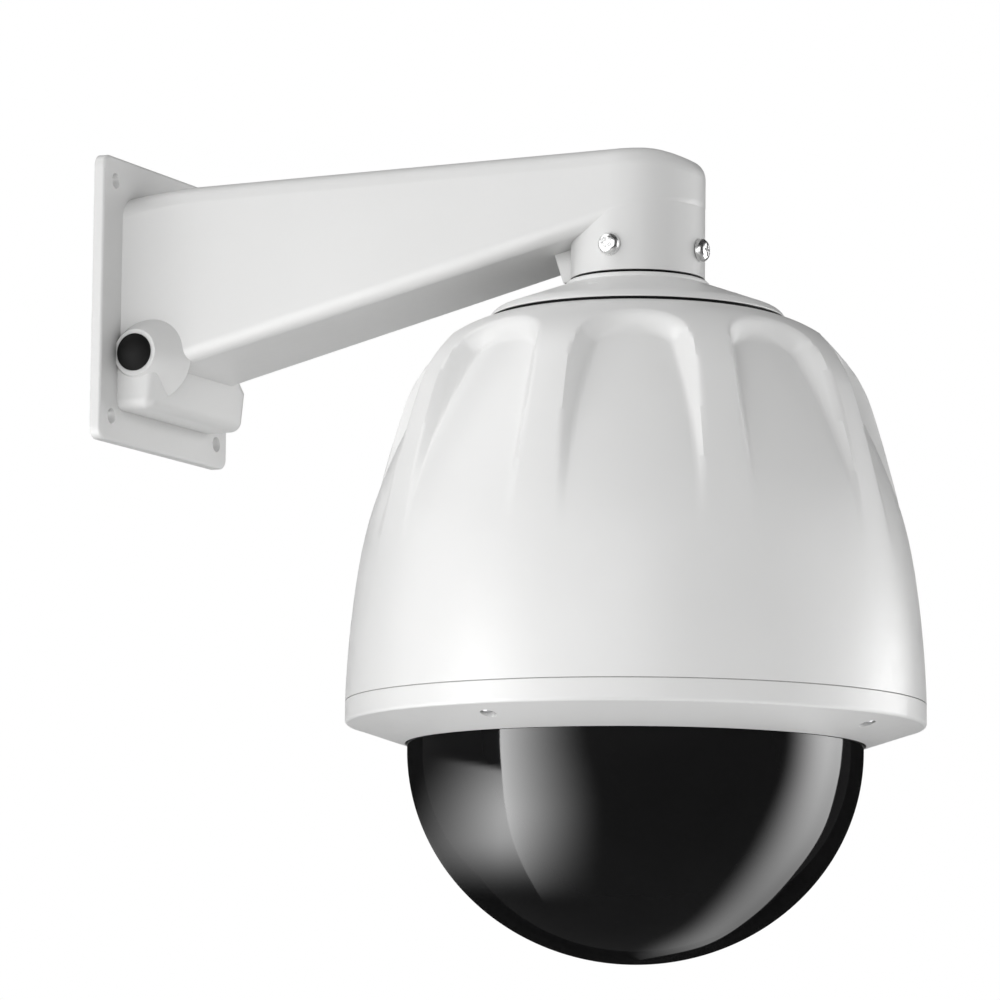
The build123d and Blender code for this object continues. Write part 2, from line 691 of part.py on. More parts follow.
def pocket_arch(height, inset):
    """Round-topped outline of a pocket at a height over its floor."""
    lean = math.atan2(POCKET_END_HALF_WIDTH - POCKET_TOP_HALF_WIDTH, POCKET_LENGTH)
    widen = height * POCKET_SIDE_SPREAD + inset * math.hypot(1, POCKET_SIDE_SPREAD)
    raise_by = height * POCKET_TOP_SPREAD + inset * math.hypot(1, POCKET_TOP_SPREAD)
    half_top = POCKET_TOP_HALF_WIDTH + widen / math.cos(lean)
    # The top circle is tangent to both sides and its crown is at the raised height.
    crown_r = (half_top - raise_by * math.tan(lean)) * math.cos(lean) / (1 - math.sin(lean))
    centre_y = raise_by - crown_r
    touch = (crown_r * math.cos(lean), centre_y + crown_r * math.sin(lean))
    foot_y = -1.15 * POCKET_LENGTH
    foot_x = half_top - foot_y * math.tan(lean)
    crown = ThreePointArc((-touch[0], touch[1]), (0, raise_by), touch)
    sides = Polyline(touch, (foot_x, foot_y), (-foot_x, foot_y), (-touch[0], touch[1]))
    return pocket_plane(height) * make_face(crown + sides)


def pockets(inset):
    """All the pockets as solids to cut away."""
    low = -inset - 2
    high = SHIELD_SHOULDER_R / 4
    spread = loft([pocket_arch(low, inset), pocket_arch(high, inset)], ruled=True)
    one = spread - pocket_floor(inset)
    return [place * one for place in polar(POCKET_COUNT, 0, POCKET_FIRST_ANGLE)]


def sun_shield():
    """Moulded shell with nine arched pockets, its wall equally thick at the pockets."""
    outer = shield_form(0)
    for cutter in pockets(0):
        outer -= cutter
    inner = shield_form(SHIELD_WALL)
    for cutter in pockets(SHIELD_WALL):
        inner -= cutter
    shell = outer - inner
    shell -= rod(SHIELD_THROAT_R, POT_TOP_Z, CAP_RIM_Z)
    return DOME_AXIS * shell


# Trim ring and dome


def ring_underside_z(r):
    """Height of the trim ring's sloped underside at a radius."""
    start_r = RING_R - RING_EDGE_ROUND
    fall = (RING_EDGE_Z - RING_LIP_Z) / (start_r - OPENING_R)
    return RING_EDGE_Z - (start_r - r) * fall


def ring_screw_places():
    return polar(RING_SCREW_COUNT, RING_SCREW_CIRCLE_R, RING_SCREW_FIRST_ANGLE)


def ring_screw_seat_z():
    return ring_underside_z(RING_SCREW_CIRCLE_R) + RING_SCREW_RECESS


def clamp_screw_places():
    return polar(CLAMP_SCREW_COUNT, CLAMP_SCREW_CIRCLE_R, 180 / CLAMP_SCREW_COUNT)


def trim_ring():
    """Lower ring: outer wall, sloped underside, seat for the dome and screw columns."""
    outer_r = RING_R
    spigot_r = outer_r - SHIELD_WALL - SLIP
    wall_r = spigot_r - RING_SPIGOT_WALL
    upstand_outer_r = UPSTAND_R + UPSTAND_WALL
    edge_r = outer_r - RING_EDGE_ROUND
    edge = TangentArc(
        (outer_r, RING_EDGE_Z + RING_EDGE_ROUND), (edge_r, RING_EDGE_Z), tangent=(0, -1)
    )
    rest = Polyline(
        (edge_r, RING_EDGE_Z),
        (OPENING_R + RING_SEAM, RING_LIP_Z),
        (OPENING_R, RING_LIP_Z + RING_SEAM),
        (OPENING_R, RING_SEAT_Z),
        (UPSTAND_R, RING_SEAT_Z),
        (UPSTAND_R, UPSTAND_TOP_Z),
        (upstand_outer_r, UPSTAND_TOP_Z),
        (upstand_outer_r, ring_underside_z(upstand_outer_r) + RING_WALL),
        (wall_r, ring_underside_z(wall_r) + RING_WALL),
        (wall_r, SHIELD_BOTTOM_Z + RING_SPIGOT_HEIGHT),
        (spigot_r, SHIELD_BOTTOM_Z + RING_SPIGOT_HEIGHT),
        (spigot_r, SHIELD_BOTTOM_Z),
        (outer_r - RING_SEAM, SHIELD_BOTTOM_Z),
        (outer_r, SHIELD_BOTTOM_Z - RING_SEAM),
        (outer_r, RING_EDGE_Z + RING_EDGE_ROUND),
    )
    ring = revolve(Plane.XZ * make_face(edge + rest), Axis.Z)
    seat_z = ring_screw_seat_z()
    below_z = RING_LIP_Z - 1
    for place in ring_screw_places():
        ring += place * rod(RING_SCREW_COLUMN_R, seat_z - 1, SHIELD_BOTTOM_Z)
    for place in ring_screw_places():
        ring -= place * rod(RING_SCREW_RECESS_R, below_z, seat_z)
        ring -= place * rod(SCREW_M3[0] + SCREW_PLAY, below_z, SHIELD_BOTTOM_Z + 1)
    for place in clamp_screw_places():
        ring -= place * rod(
            SCREW_M3[0] + SCREW_PLAY, RING_SEAT_Z - CLAMP_SCREW_DEPTH - SLIP, RING_SEAT_Z + 1
        )
    return DOME_AXIS * ring


def ring_screws():
    seat_z = ring_screw_seat_z()
    length = SHIELD_BOTTOM_Z + POT_FLANGE_THICK + RING_SCREW_BOSS - seat_z
    screw = Pos(0, 0, seat_z) * Rot(180, 0, 0) * pan_screw(SCREW_M3, length)
    return DOME_AXIS * Compound([place * screw for place in ring_screw_places()])


def dome_cover():
    """Smoked dome: an elliptical bowl, a short straight skirt and a clamped flange."""
    inner_r = DOME_R - DOME_WALL
    inner_depth = DOME_DEPTH - DOME_WALL
    centre = (0, DOME_CENTRE_Z)
    outer_bowl = EllipticalCenterArc(centre, DOME_R, DOME_DEPTH, start_angle=-90, arc_size=90)
    inner_bowl = EllipticalCenterArc(centre, inner_r, inner_depth, start_angle=-90, arc_size=90)
    rim = Polyline(
        (DOME_R, DOME_CENTRE_Z),
        (DOME_R, FLANGE_BOTTOM_Z),
        (DOME_FLANGE_R, FLANGE_BOTTOM_Z),
        (DOME_FLANGE_R, FLANGE_TOP_Z),
        (inner_r, FLANGE_TOP_Z),
        (inner_r, DOME_CENTRE_Z),
    )
    pole = Line((0, DOME_CENTRE_Z - inner_depth), (0, DOME_CENTRE_Z - DOME_DEPTH))
    dome = revolve(Plane.XZ * make_face(outer_bowl + rim + inner_bowl + pole), Axis.Z)
    for place in clamp_screw_places():
        dome -= place * rod(SCREW_M3[0] + SLIP, FLANGE_BOTTOM_Z - 1, FLANGE_TOP_Z + 1)
    return DOME_AXIS * dome


def dome_gasket():
    gasket = tube(DOME_FLANGE_R, OPENING_R + SLIP, RING_SEAT_Z, FLANGE_BOTTOM_Z)
    for place in clamp_screw_places():
        gasket -= place * rod(SCREW_M3[0] + SLIP, RING_SEAT_Z - 1, FLANGE_BOTTOM_Z + 1)
    return DOME_AXIS * gasket


def dome_clamp():
    clamp = tube(DOME_FLANGE_R, CLAMP_INNER_R, FLANGE_TOP_Z, CLAMP_TOP_Z)
    for place in clamp_screw_places():
        clamp -= place * rod(SCREW_M3[0] + SCREW_PLAY, FLANGE_TOP_Z - 1, CLAMP_TOP_Z + 1)
    return DOME_AXIS * clamp


def clamp_screws():
    length = CLAMP_TOP_Z - RING_SEAT_Z + CLAMP_SCREW_DEPTH
    screw = Pos(0, 0, CLAMP_TOP_Z) * pan_screw(SCREW_M3, length)
    return DOME_AXIS * Compound([place * screw for place in clamp_screw_places()])


def ring_gasket():
    return DOME_AXIS * tube(UPSTAND_R + UPSTAND_WALL - SLIP, UPSTAND_R, UPSTAND_TOP_Z, SHIELD_BOTTOM_Z)


# Inner pot and what hangs in it


def pot_outline(inset):
    """Profile of the pot's wall from its top to its flange, with rounded bends."""
    corners = [
        (0, POT_TOP_Z - inset * POT_TOP_WALL / POT_WALL),
        (POT_TOP_R - inset, POT_TOP_Z - inset * POT_TOP_WALL / POT_WALL),
        (POT_SHOULDER_R - inset, POT_SHOULDER_Z),
        (POT_MID_R - inset, POT_MID_Z),
        (POT_SIDE_R - inset, POT_SIDE_Z),
        (POT_SIDE_R - inset, SHIELD_BOTTOM_Z),
        (0, SHIELD_BOTTOM_Z),
    ]
    outline = make_face(Polyline(*corners, close=True))
    for corner in corners[1:5]:
        bend = outline.vertices().sort_by_distance(Vector(*corner, 0))[0]
        outline = fillet(bend, POT_BEND_R - inset)
    return Plane.XZ * outline


def inner_pot():
    """Spun pot with a flange, a cable throat and threaded bosses for the ring's screws."""
    flange_top_z = SHIELD_BOTTOM_Z + POT_FLANGE_THICK
    pot = revolve(pot_outline(0), Axis.Z)
    pot += rod(POT_FLANGE_R, SHIELD_BOTTOM_Z, flange_top_z)
    for place in ring_screw_places():
        pot += place * rod(RING_SCREW_COLUMN_R, SHIELD_BOTTOM_Z, flange_top_z + RING_SCREW_BOSS)
    pot -= revolve(pot_outline(POT_WALL), Axis.Z)
    pot -= rod(POT_THROAT_R, POT_CEILING_Z - 1, POT_TOP_Z + 1)
    for place in ring_screw_places():
        pot -= place * rod(
            SCREW_M3[0] + SCREW_PLAY, SHIELD_BOTTOM_Z - 1, flange_top_z + RING_SCREW_BOSS + 1
        )
    for place in polar(CAP_SCREW_COUNT, CAP_SCREW_CIRCLE_R):
        pot -= place * rod(SCREW_M4[0] + SCREW_PLAY, POT_CEILING_Z - 1, POT_TOP_Z + 1)
    return DOME_AXIS * pot


def cap_screws():
    screw = Pos(0, 0, POT_CEILING_Z) * Rot(180, 0, 0) * pan_screw(
        SCREW_M4, POT_TOP_WALL + CAP_SCREW_GRIP
    )
    return DOME_AXIS * Compound([place * screw for place in polar(CAP_SCREW_COUNT, CAP_SCREW_CIRCLE_R)])


def standoff_places():
    return polar(STANDOFF_COUNT, STANDOFF_CIRCLE_R, STANDOFF_FIRST_ANGLE)


def standoffs():
    hexagon = RegularPolygon(STANDOFF_FLATS / 2, 6, major_radius=False)
    pillar = extrude(Pos(0, 0, DISC_TOP_Z) * hexagon, STANDOFF_LENGTH)
    pillar -= rod(SCREW_M3[0] + SCREW_PLAY, DISC_TOP_Z - 1, DISC_TOP_Z + STANDOFF_THREAD_DEPTH)
    return DOME_AXIS * Compound([place * pillar for place in standoff_places()])


def fan_screw_places():
    half = FAN_HOLE_SPAN / 2
    return [Pos(x, FAN_CENTRE_Y + y, 0) for x in (-half, half) for y in (-half, half)]


def heater_screw_places():
    return [Pos(x, HEATER_CENTRE_Y, 0) for x in (-HEATER_SCREW_SPAN / 2, HEATER_SCREW_SPAN / 2)]


def board_pillar_places():
    half_x = BOARD_LENGTH / 2 - BOARD_HOLE_INSET
    half_y = BOARD_WIDTH / 2 - BOARD_HOLE_INSET
    return [Pos(x, BOARD_CENTRE_Y + y, 0) for x in (-half_x, half_x) for y in (-half_y, half_y)]


def module_plate():
    """Round plate with the camera module's holes, the fan's vent and the socket's window."""
    plate = rod(DISC_R, DISC_BOTTOM_Z, DISC_TOP_Z)
    plate -= rod(FAN_BORE_R, DISC_BOTTOM_Z - 1, DISC_TOP_Z + 1, y=FAN_CENTRE_Y)
    plate -= Pos(0, 0, (DISC_BOTTOM_Z + DISC_TOP_Z) / 2) * Box(
        SOCKET_LENGTH, SOCKET_WIDTH, 2 * DISC_THICK
    )
    holes = [(place, MODULE_HOLE_D / 2) for place in module_hole_places()]
    holes += [(place, SCREW_M3[0] + SCREW_PLAY) for place in standoff_places()]
    holes += [(place, SCREW_M3[0] + SCREW_PLAY) for place in fan_screw_places()]
    holes += [(place, SCREW_M3[0] + SCREW_PLAY) for place in heater_screw_places()]
    for place, hole_r in holes:
        plate -= place * rod(hole_r, DISC_BOTTOM_Z - 1, DISC_TOP_Z + 1)
    return DOME_AXIS * plate


def module_hole_places():
    return polar(MODULE_HOLE_COUNT, MODULE_HOLE_CIRCLE_R, MODULE_HOLE_FIRST_ANGLE)


def plate_screws():
    screw = Pos(0, 0, DISC_BOTTOM_Z) * Rot(180, 0, 0) * pan_screw(
        SCREW_M3, DISC_THICK + STANDOFF_THREAD_DEPTH - 1
    )
    return DOME_AXIS * Compound([place * screw for place in standoff_places()])


def board_pillars():
    pillar = rod(PILLAR_R, DISC_TOP_Z, BOARD_BOTTOM_Z)
    pillar += rod(PILLAR_PIN_R, BOARD_BOTTOM_Z, BOARD_TOP_Z)
    pillar += rod(PILLAR_CLIP_R, BOARD_TOP_Z, BOARD_TOP_Z + PILLAR_CLIP_HEIGHT)
    return DOME_AXIS * Compound([place * pillar for place in board_pillar_places()])


def connector_board():
    board = Pos(0, BOARD_CENTRE_Y, (BOARD_BOTTOM_Z + BOARD_TOP_Z) / 2) * Box(
        BOARD_LENGTH, BOARD_WIDTH, BOARD_THICK
    )
    for place in board_pillar_places():
        board -= place * rod(PILLAR_PIN_R + SCREW_PLAY, BOARD_BOTTOM_Z - 1, BOARD_TOP_Z + 1)
    return DOME_AXIS * board


def terminal_block():
    """Screw terminals: a well for each screw above and a wire entry at the front."""
    length = TERMINAL_WAYS * TERMINAL_PITCH
    top_z = BOARD_TOP_Z + TERMINAL_HEIGHT
    centre_y = BOARD_CENTRE_Y + TERMINAL_INSET_Y
    block = Pos(0, centre_y, (BOARD_TOP_Z + top_z) / 2) * Box(length, TERMINAL_DEPTH, TERMINAL_HEIGHT)
    block = chamfer(block.edges().filter_by(Axis.X).sort_by(Axis.Z)[-2:], 1.0)
    for k in range(TERMINAL_WAYS):
        x = (k + 0.5) * TERMINAL_PITCH - length / 2
        block -= rod(TERMINAL_WELL_R, top_z - TERMINAL_WELL_DEPTH, top_z + 1, x, centre_y)
        block -= Pos(x, centre_y + TERMINAL_DEPTH / 2, BOARD_TOP_Z + TERMINAL_ENTRY) * Box(
            TERMINAL_ENTRY, TERMINAL_DEPTH, TERMINAL_ENTRY
        )
    return DOME_AXIS * block


def transformer():
    centre_y = BOARD_CENTRE_Y - BOARD_WIDTH / 2 + TRANSFORMER_WIDTH / 2 + 1
    block = Pos(0, centre_y, BOARD_TOP_Z + TRANSFORMER_HEIGHT / 2) * Box(
        TRANSFORMER_LENGTH, TRANSFORMER_WIDTH, TRANSFORMER_HEIGHT
    )
    block = fillet(block.edges().filter_by(Axis.Z), TRANSFORMER_ROUND)
    block = chamfer(block.faces().sort_by(Axis.Z)[-1].edges(), TRANSFORMER_ROUND / 2)
    return DOME_AXIS * block


def module_socket():
    """Plug-in socket: flange under the plate, open shroud below it and a back above it."""
    flange_z = DISC_BOTTOM_Z - SOCKET_FLANGE_THICK
    shroud_z = flange_z - SOCKET_DEPTH
    back_length = SOCKET_LENGTH - 2 * SLIP
    back_width = SOCKET_WIDTH - 2 * SLIP
    back = Pos(0, 0, DISC_BOTTOM_Z + SOCKET_BACK / 2) * Box(back_length, back_width, SOCKET_BACK)
    flange = Pos(0, 0, DISC_BOTTOM_Z - SOCKET_FLANGE_THICK / 2) * Box(
        SOCKET_LENGTH + 2 * SOCKET_FLANGE, SOCKET_WIDTH + 2 * SOCKET_FLANGE, SOCKET_FLANGE_THICK
    )
    shroud = Pos(0, 0, flange_z - SOCKET_DEPTH / 2) * Box(SOCKET_LENGTH, SOCKET_WIDTH, SOCKET_DEPTH)
    shroud -= Pos(0, 0, flange_z - SOCKET_DEPTH / 2) * Box(
        SOCKET_LENGTH - 2 * SOCKET_WALL, SOCKET_WIDTH - 2 * SOCKET_WALL, SOCKET_DEPTH
    )
    socket = back + flange + shroud
    for k in range(SOCKET_PINS):
        x = (k - (SOCKET_PINS - 1) / 2) * SOCKET_PIN_PITCH
        socket += rod(SOCKET_PIN_R, shroud_z + SOCKET_WALL, flange_z, x)
    return DOME_AXIS * socket


# Fan


def fan_frame():
    """Square frame whose spokes carry the bearing tube in the middle."""
    middle_z = (DISC_BOTTOM_Z + FAN_BOTTOM_Z) / 2
    spoke_top_z = FAN_BOTTOM_Z + FAN_SPOKE_THICK
    hub_top_z = DISC_BOTTOM_Z - FAN_HUB_DROP - FAN_HUB_WALL
    bearing_top_z = hub_top_z - FAN_BEARING_GAP
    frame = Pos(0, 0, middle_z) * Box(FAN_SIZE, FAN_SIZE, FAN_THICK)
    frame = fillet(frame.edges().filter_by(Axis.Z), FAN_CORNER)
    frame -= rod(FAN_BORE_R, FAN_BOTTOM_Z - 1, DISC_BOTTOM_Z + 1)
    frame += rod(FAN_HUB_R, FAN_BOTTOM_Z, spoke_top_z)
    for place in polar(FAN_SPOKES, FAN_BORE_R / 2 + FAN_HUB_R / 2, 30):
        spoke_length = FAN_BORE_R - FAN_HUB_R + 2
        frame += place * Pos(0, 0, FAN_BOTTOM_Z + FAN_SPOKE_THICK / 2) * Box(
            spoke_length, FAN_SPOKE_WIDTH, FAN_SPOKE_THICK
        )
    frame += rod(FAN_BEARING_R, FAN_BOTTOM_Z, bearing_top_z)
    frame -= rod(FAN_SHAFT_R + RUNNING, FAN_BOTTOM_Z + FAN_SPOKE_THICK / 2, bearing_top_z + 1)
    frame = Pos(0, FAN_CENTRE_Y, 0) * frame
    for place in fan_screw_places():
        frame -= place * rod(SCREW_M3[0] + SCREW_PLAY, FAN_BOTTOM_Z - 1, DISC_BOTTOM_Z + 1)
    return DOME_AXIS * frame


def fan_rotor():
    """Hub cup on its shaft, with pitched blades."""
    top_z = DISC_BOTTOM_Z - FAN_HUB_DROP
    rim_z = FAN_BOTTOM_Z + FAN_SPOKE_THICK + FAN_HUB_LIFT
    shaft_z = FAN_BOTTOM_Z + FAN_SPOKE_THICK / 2 + FAN_BEARING_GAP
    middle_z = (top_z + rim_z) / 2
    blade_length = FAN_TIP_R + 2 - (FAN_HUB_R - FAN_HUB_WALL)
    blade_x = FAN_HUB_R - FAN_HUB_WALL / 2 + blade_length / 2
    blade = Rot(FAN_BLADE_PITCH, 0, 0) * Box(blade_length, FAN_BLADE_CHORD, FAN_BLADE_THICK)
    reach = tube(FAN_TIP_R, FAN_HUB_R - FAN_HUB_WALL / 2, rim_z, top_z)
    rotor = rod(FAN_HUB_R, rim_z, top_z)
    for k in range(FAN_BLADES):
        rotor += (Rot(0, 0, k * 360 / FAN_BLADES) * Pos(blade_x, 0, middle_z) * blade) & reach
    rotor -= rod(FAN_HUB_R - FAN_HUB_WALL, rim_z - 1, top_z - FAN_HUB_WALL)
    rotor += rod(FAN_SHAFT_R, shaft_z, top_z - FAN_HUB_WALL)
    return DOME_AXIS * Pos(0, FAN_CENTRE_Y, 0) * rotor


def fan_screws():
    screw = Pos(0, 0, FAN_BOTTOM_Z) * Rot(180, 0, 0) * pan_screw(SCREW_M3, FAN_THICK + DISC_THICK)
    return DOME_AXIS * Compound([place * screw for place in fan_screw_places()])


# Heater


def heater_block():
    base_z = DISC_BOTTOM_Z - HEATER_BASE
    heater = Pos(0, 0, (DISC_BOTTOM_Z + base_z) / 2) * Box(HEATER_LENGTH, HEATER_WIDTH, HEATER_BASE)
    heater = fillet(heater.edges().filter_by(Axis.Z), HEATER_FIN_THICK)
    fin_pitch = (HEATER_WIDTH - HEATER_FIN_THICK) / (HEATER_FINS - 1)
    for k in range(HEATER_FINS):
        y = (k - (HEATER_FINS - 1) / 2) * fin_pitch
        heater += Pos(0, y, base_z - HEATER_FIN_HEIGHT / 2) * Box(
            HEATER_FIN_LENGTH, HEATER_FIN_THICK, HEATER_FIN_HEIGHT
        )
    heater = Pos(0, HEATER_CENTRE_Y, 0) * heater
    for place in heater_screw_places():
        heater -= place * rod(SCREW_M3[0] + SCREW_PLAY, base_z - 1, DISC_BOTTOM_Z + 1)
    return DOME_AXIS * heater


def heater_screws():
    base_z = DISC_BOTTOM_Z - HEATER_BASE
    screw = Pos(0, 0, base_z) * Rot(180, 0, 0) * pan_screw(SCREW_M3, HEATER_BASE + DISC_THICK)
    return DOME_AXIS * Compound([place * screw for place in heater_screw_places()])


def thermostat():
    """Bimetal switch: a round can on a thin flange, with two tabs below."""
    flange_z = DISC_BOTTOM_Z - 1
    can_z = flange_z - THERMOSTAT_HEIGHT
    body = rod(THERMOSTAT_R, flange_z, DISC_BOTTOM_Z) + rod(THERMOSTAT_R - 1, can_z, flange_z)
    for y in (-THERMOSTAT_R / 3, THERMOSTAT_R / 3):
        body += Pos(0, y, can_z - THERMOSTAT_TAB / 2) * Box(3.2, 0.8, THERMOSTAT_TAB)
    return DOME_AXIS * Pos(THERMOSTAT_X, THERMOSTAT_Y, 0) * body


NODES = (
    bracket,
    entry_plug,
    collar_screws,
    neck_seal,
    neck_cap,
    cap_gasket,
    sun_shield,
    pot_gasket,
    inner_pot,
    cap_screws,
    standoffs,
    module_plate,
    plate_screws,
    board_pillars,
    connector_board,
    terminal_block,
    transformer,
    module_socket,
    fan_frame,
    fan_rotor,
    fan_screws,
    heater_block,
    heater_screws,
    thermostat,
    trim_ring,
    ring_screws,
    ring_gasket,
    dome_gasket,
    dome_cover,
    dome_clamp,
    clamp_screws,
)

for node in NODES:
    save(node.__name__, node())
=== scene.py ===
import json
import math

import bpy
import numpy as np
from mathutils import Matrix, Vector


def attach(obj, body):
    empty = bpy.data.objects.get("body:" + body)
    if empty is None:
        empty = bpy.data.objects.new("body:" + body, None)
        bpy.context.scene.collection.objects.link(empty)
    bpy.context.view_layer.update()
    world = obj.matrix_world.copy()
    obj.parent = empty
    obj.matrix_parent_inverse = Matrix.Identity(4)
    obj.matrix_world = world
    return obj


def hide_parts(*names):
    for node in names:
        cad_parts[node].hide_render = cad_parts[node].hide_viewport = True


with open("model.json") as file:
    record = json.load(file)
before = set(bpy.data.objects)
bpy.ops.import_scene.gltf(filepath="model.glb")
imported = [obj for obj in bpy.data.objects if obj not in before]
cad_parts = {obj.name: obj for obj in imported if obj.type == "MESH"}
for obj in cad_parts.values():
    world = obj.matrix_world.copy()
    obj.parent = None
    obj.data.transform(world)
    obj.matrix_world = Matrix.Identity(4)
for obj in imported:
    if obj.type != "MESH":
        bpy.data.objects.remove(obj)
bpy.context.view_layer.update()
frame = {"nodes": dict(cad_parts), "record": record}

# Looks of the security camera housing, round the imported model.
# Sizes of the shield and the dome are in millimetres and are scaled by MM. All others are in metres.

NODES = frame["nodes"]
SLOT_OF = {part["node"]: part["material_slot"] for part in frame["record"]["subparts"]}
MM = 0.001
AXIS_X = 0.230             # the dome's axis stands at this X, Y = 0

# Camera, at the photograph's viewing angle. Angles are in degrees.
CAMERA_AT = (1.06184, -1.84733, -0.36206)
CAMERA_TURN = 25.84        # of the view direction from +Y towards -X
CAMERA_PITCH = 7.563
CAMERA_ROLL = 0.52
CAMERA_LENS = 177.71
SENSOR_WIDTH = 36
IMAGE_SIZE = 1000          # pixels each way


# Building blocks of the materials


def new_material(name):
    """Empty node material, with its node tree and its shader."""
    made = bpy.data.materials.new(name)
    made.use_nodes = True
    tree = made.node_tree
    return made, tree, tree.nodes["Principled BSDF"]


def node(tree, kind, **settings):
    """Adds a node with those settings."""
    made = tree.nodes.new(kind)
    for key, value in settings.items():
        setattr(made, key, value)
    return made


def own_coordinates(tree, shift=(0, 0, 0), stretch=(1, 1, 1)):
    """The part's own coordinates, shifted and stretched."""
    mapping = node(tree, "ShaderNodeMapping")
    mapping.inputs["Location"].default_value = shift
    mapping.inputs["Scale"].default_value = stretch
    tree.links.new(node(tree, "ShaderNodeTexCoord").outputs["Object"], mapping.inputs["Vector"])
    return mapping.outputs["Vector"]


def noise(tree, scale, detail=2.0, roughness=0.5, stretch=(1, 1, 1)):
    """Noise with that many features a metre."""
    made = node(tree, "ShaderNodeTexNoise")
    made.inputs["Scale"].default_value = scale
    made.inputs["Detail"].default_value = detail
    made.inputs["Roughness"].default_value = roughness
    tree.links.new(own_coordinates(tree, stretch=stretch), made.inputs["Vector"])
    return made.outputs["Fac"]


def spread(tree, factor, low, high, start=0.3, end=0.7):
    """Maps a factor onto a range of values."""
    made = node(tree, "ShaderNodeMapRange")
    made.inputs["From Min"].default_value = start
    made.inputs["From Max"].default_value = end
    made.inputs["To Min"].default_value = low
    made.inputs["To Max"].default_value = high
    tree.links.new(factor, made.inputs["Value"])
    return made.outputs["Result"]


def tint(tree, factor, dark, light):
    """Colour between two by a factor."""
    made = node(tree, "ShaderNodeMix", data_type="RGBA")
    made.inputs["A"].default_value = (*dark, 1)
    made.inputs["B"].default_value = (*light, 1)
    tree.links.new(factor, made.inputs["Factor"])
    return made.outputs["Result"]


def stained(tree, pattern, colour, loss):
    """Colour that loses up to that share of its light where the pattern is low."""
    dark = tuple(c * (1 - loss) for c in colour)
    return tint(tree, spread(tree, pattern, 0, 1), dark, colour)


def bump(tree, shader, height, distance, before=None):
    """Adds a bump of that height in metres to the shader's normal."""
    made = node(tree, "ShaderNodeBump")
    made.inputs["Distance"].default_value = distance
    tree.links.new(height, made.inputs["Height"])
    if before:
        tree.links.new(before, made.inputs["Normal"])
    tree.links.new(made.outputs["Normal"], shader.inputs["Normal"])
    return made.outputs["Normal"]


# Dust and painted shade: colour darkened in holes and deep corners by ambient occlusion.
DUST_AND_SHADE_REACH = 0.010
DUST_AND_SHADE_DARK = 0.30        # share of the light left deep in a hole
DUST_AND_SHADE_DEEP = 0.1         # openness at which a point counts as deep in a hole
DUST_AND_SHADE_OPEN = 0.6         # openness from which nothing is darkened


def dust_and_painted_shade(tree, colour):
    """Paints shade into a colour in holes and deep corners by ambient occlusion; the darkening
    stands for dust and for the shade there.
    """
    openness = node(tree, "ShaderNodeAmbientOcclusion", samples=6)
    openness.inputs["Distance"].default_value = DUST_AND_SHADE_REACH
    left = spread(tree, openness.outputs["AO"], DUST_AND_SHADE_DARK, 1.0, DUST_AND_SHADE_DEEP, DUST_AND_SHADE_OPEN)
    mixed = node(tree, "ShaderNodeMix", data_type="RGBA", blend_type="MULTIPLY")
    mixed.inputs["Factor"].default_value = 1.0
    tree.links.new(colour, mixed.inputs["A"])
    tree.links.new(left, mixed.inputs["B"])
    return mixed.outputs["Result"]


# Materials


def painted(name, colour, roughness, grain_mm, grain_height):
    """Powder coat or moulded skin: a fine orange peel, uneven gloss, a slight change of tone, and
    dust with painted shade in holes and corners.
    """
    made, tree, shader = new_material(name)
    base = stained(tree, noise(tree, 14, 3), colour, 0.03)
    # painted shade and dust in holes and corners, over the change of tone
    tree.links.new(dust_and_painted_shade(tree, base), shader.inputs["Base Color"])
    gloss = noise(tree, 160, 4, 0.6)
    uneven = spread(tree, gloss, roughness - 0.05, roughness + 0.06)
    tree.links.new(uneven, shader.inputs["Roughness"])
    waviness = bump(tree, shader, noise(tree, 1 / (6 * MM), 1), 2e-5)
    bump(tree, shader, noise(tree, 1 / (grain_mm * MM), 2, 0.55), grain_height, before=waviness)
    shader.inputs["Specular IOR Level"].default_value = 0.45
    return made


def rubber(name, colour):
    """Matt rubber with a faint bloom."""
    made, tree, shader = new_material(name)
    bloom = noise(tree, 220, 4, 0.6)
    light = tuple(c + 0.003 for c in colour)
    tree.links.new(tint(tree, spread(tree, bloom, 0, 1), colour, light), shader.inputs["Base Color"])
    tree.links.new(spread(tree, bloom, 0.55, 0.75), shader.inputs["Roughness"])
    bump(tree, shader, noise(tree, 2600, 2), 1.2e-5)
    shader.inputs["Specular IOR Level"].default_value = 0.12
    return made


def metal(name, colour, roughness, stretch=(1, 1, 1), scale=900, wear=0.12, height=4e-6):
    """Bare metal with fine tool or rolling marks along the stretch."""
    made, tree, shader = new_material(name)
    marks = noise(tree, scale, 3, 0.6, stretch=stretch)
    base = stained(tree, noise(tree, 90, 4, 0.6), colour, wear)
    tree.links.new(base, shader.inputs["Base Color"])
    uneven = spread(tree, marks, roughness * 0.75, roughness * 1.3)
    tree.links.new(uneven, shader.inputs["Roughness"])
    bump(tree, shader, marks, height)
    shader.inputs["Metallic"].default_value = 1.0
    return made


def spun_metal(name, colour, roughness):
    """Metal turned about the dome's axis: fine rings."""
    made, tree, shader = new_material(name)
    rings = node(tree, "ShaderNodeTexWave", wave_type="RINGS", rings_direction="Z")
    rings.inputs["Scale"].default_value = 160
    rings.inputs["Distortion"].default_value = 1.5
    rings.inputs["Detail"].default_value = 3
    tree.links.new(own_coordinates(tree, shift=(-AXIS_X, 0, 0)), rings.inputs["Vector"])
    base = stained(tree, noise(tree, 30, 4, 0.6), colour, 0.14)
    tree.links.new(base, shader.inputs["Base Color"])
    grooves = rings.outputs["Fac"]
    uneven = spread(tree, grooves, roughness * 0.8, roughness * 1.2, 0, 1)
    tree.links.new(uneven, shader.inputs["Roughness"])
    bump(tree, shader, grooves, 6e-6)
    shader.inputs["Metallic"].default_value = 1.0
    return made


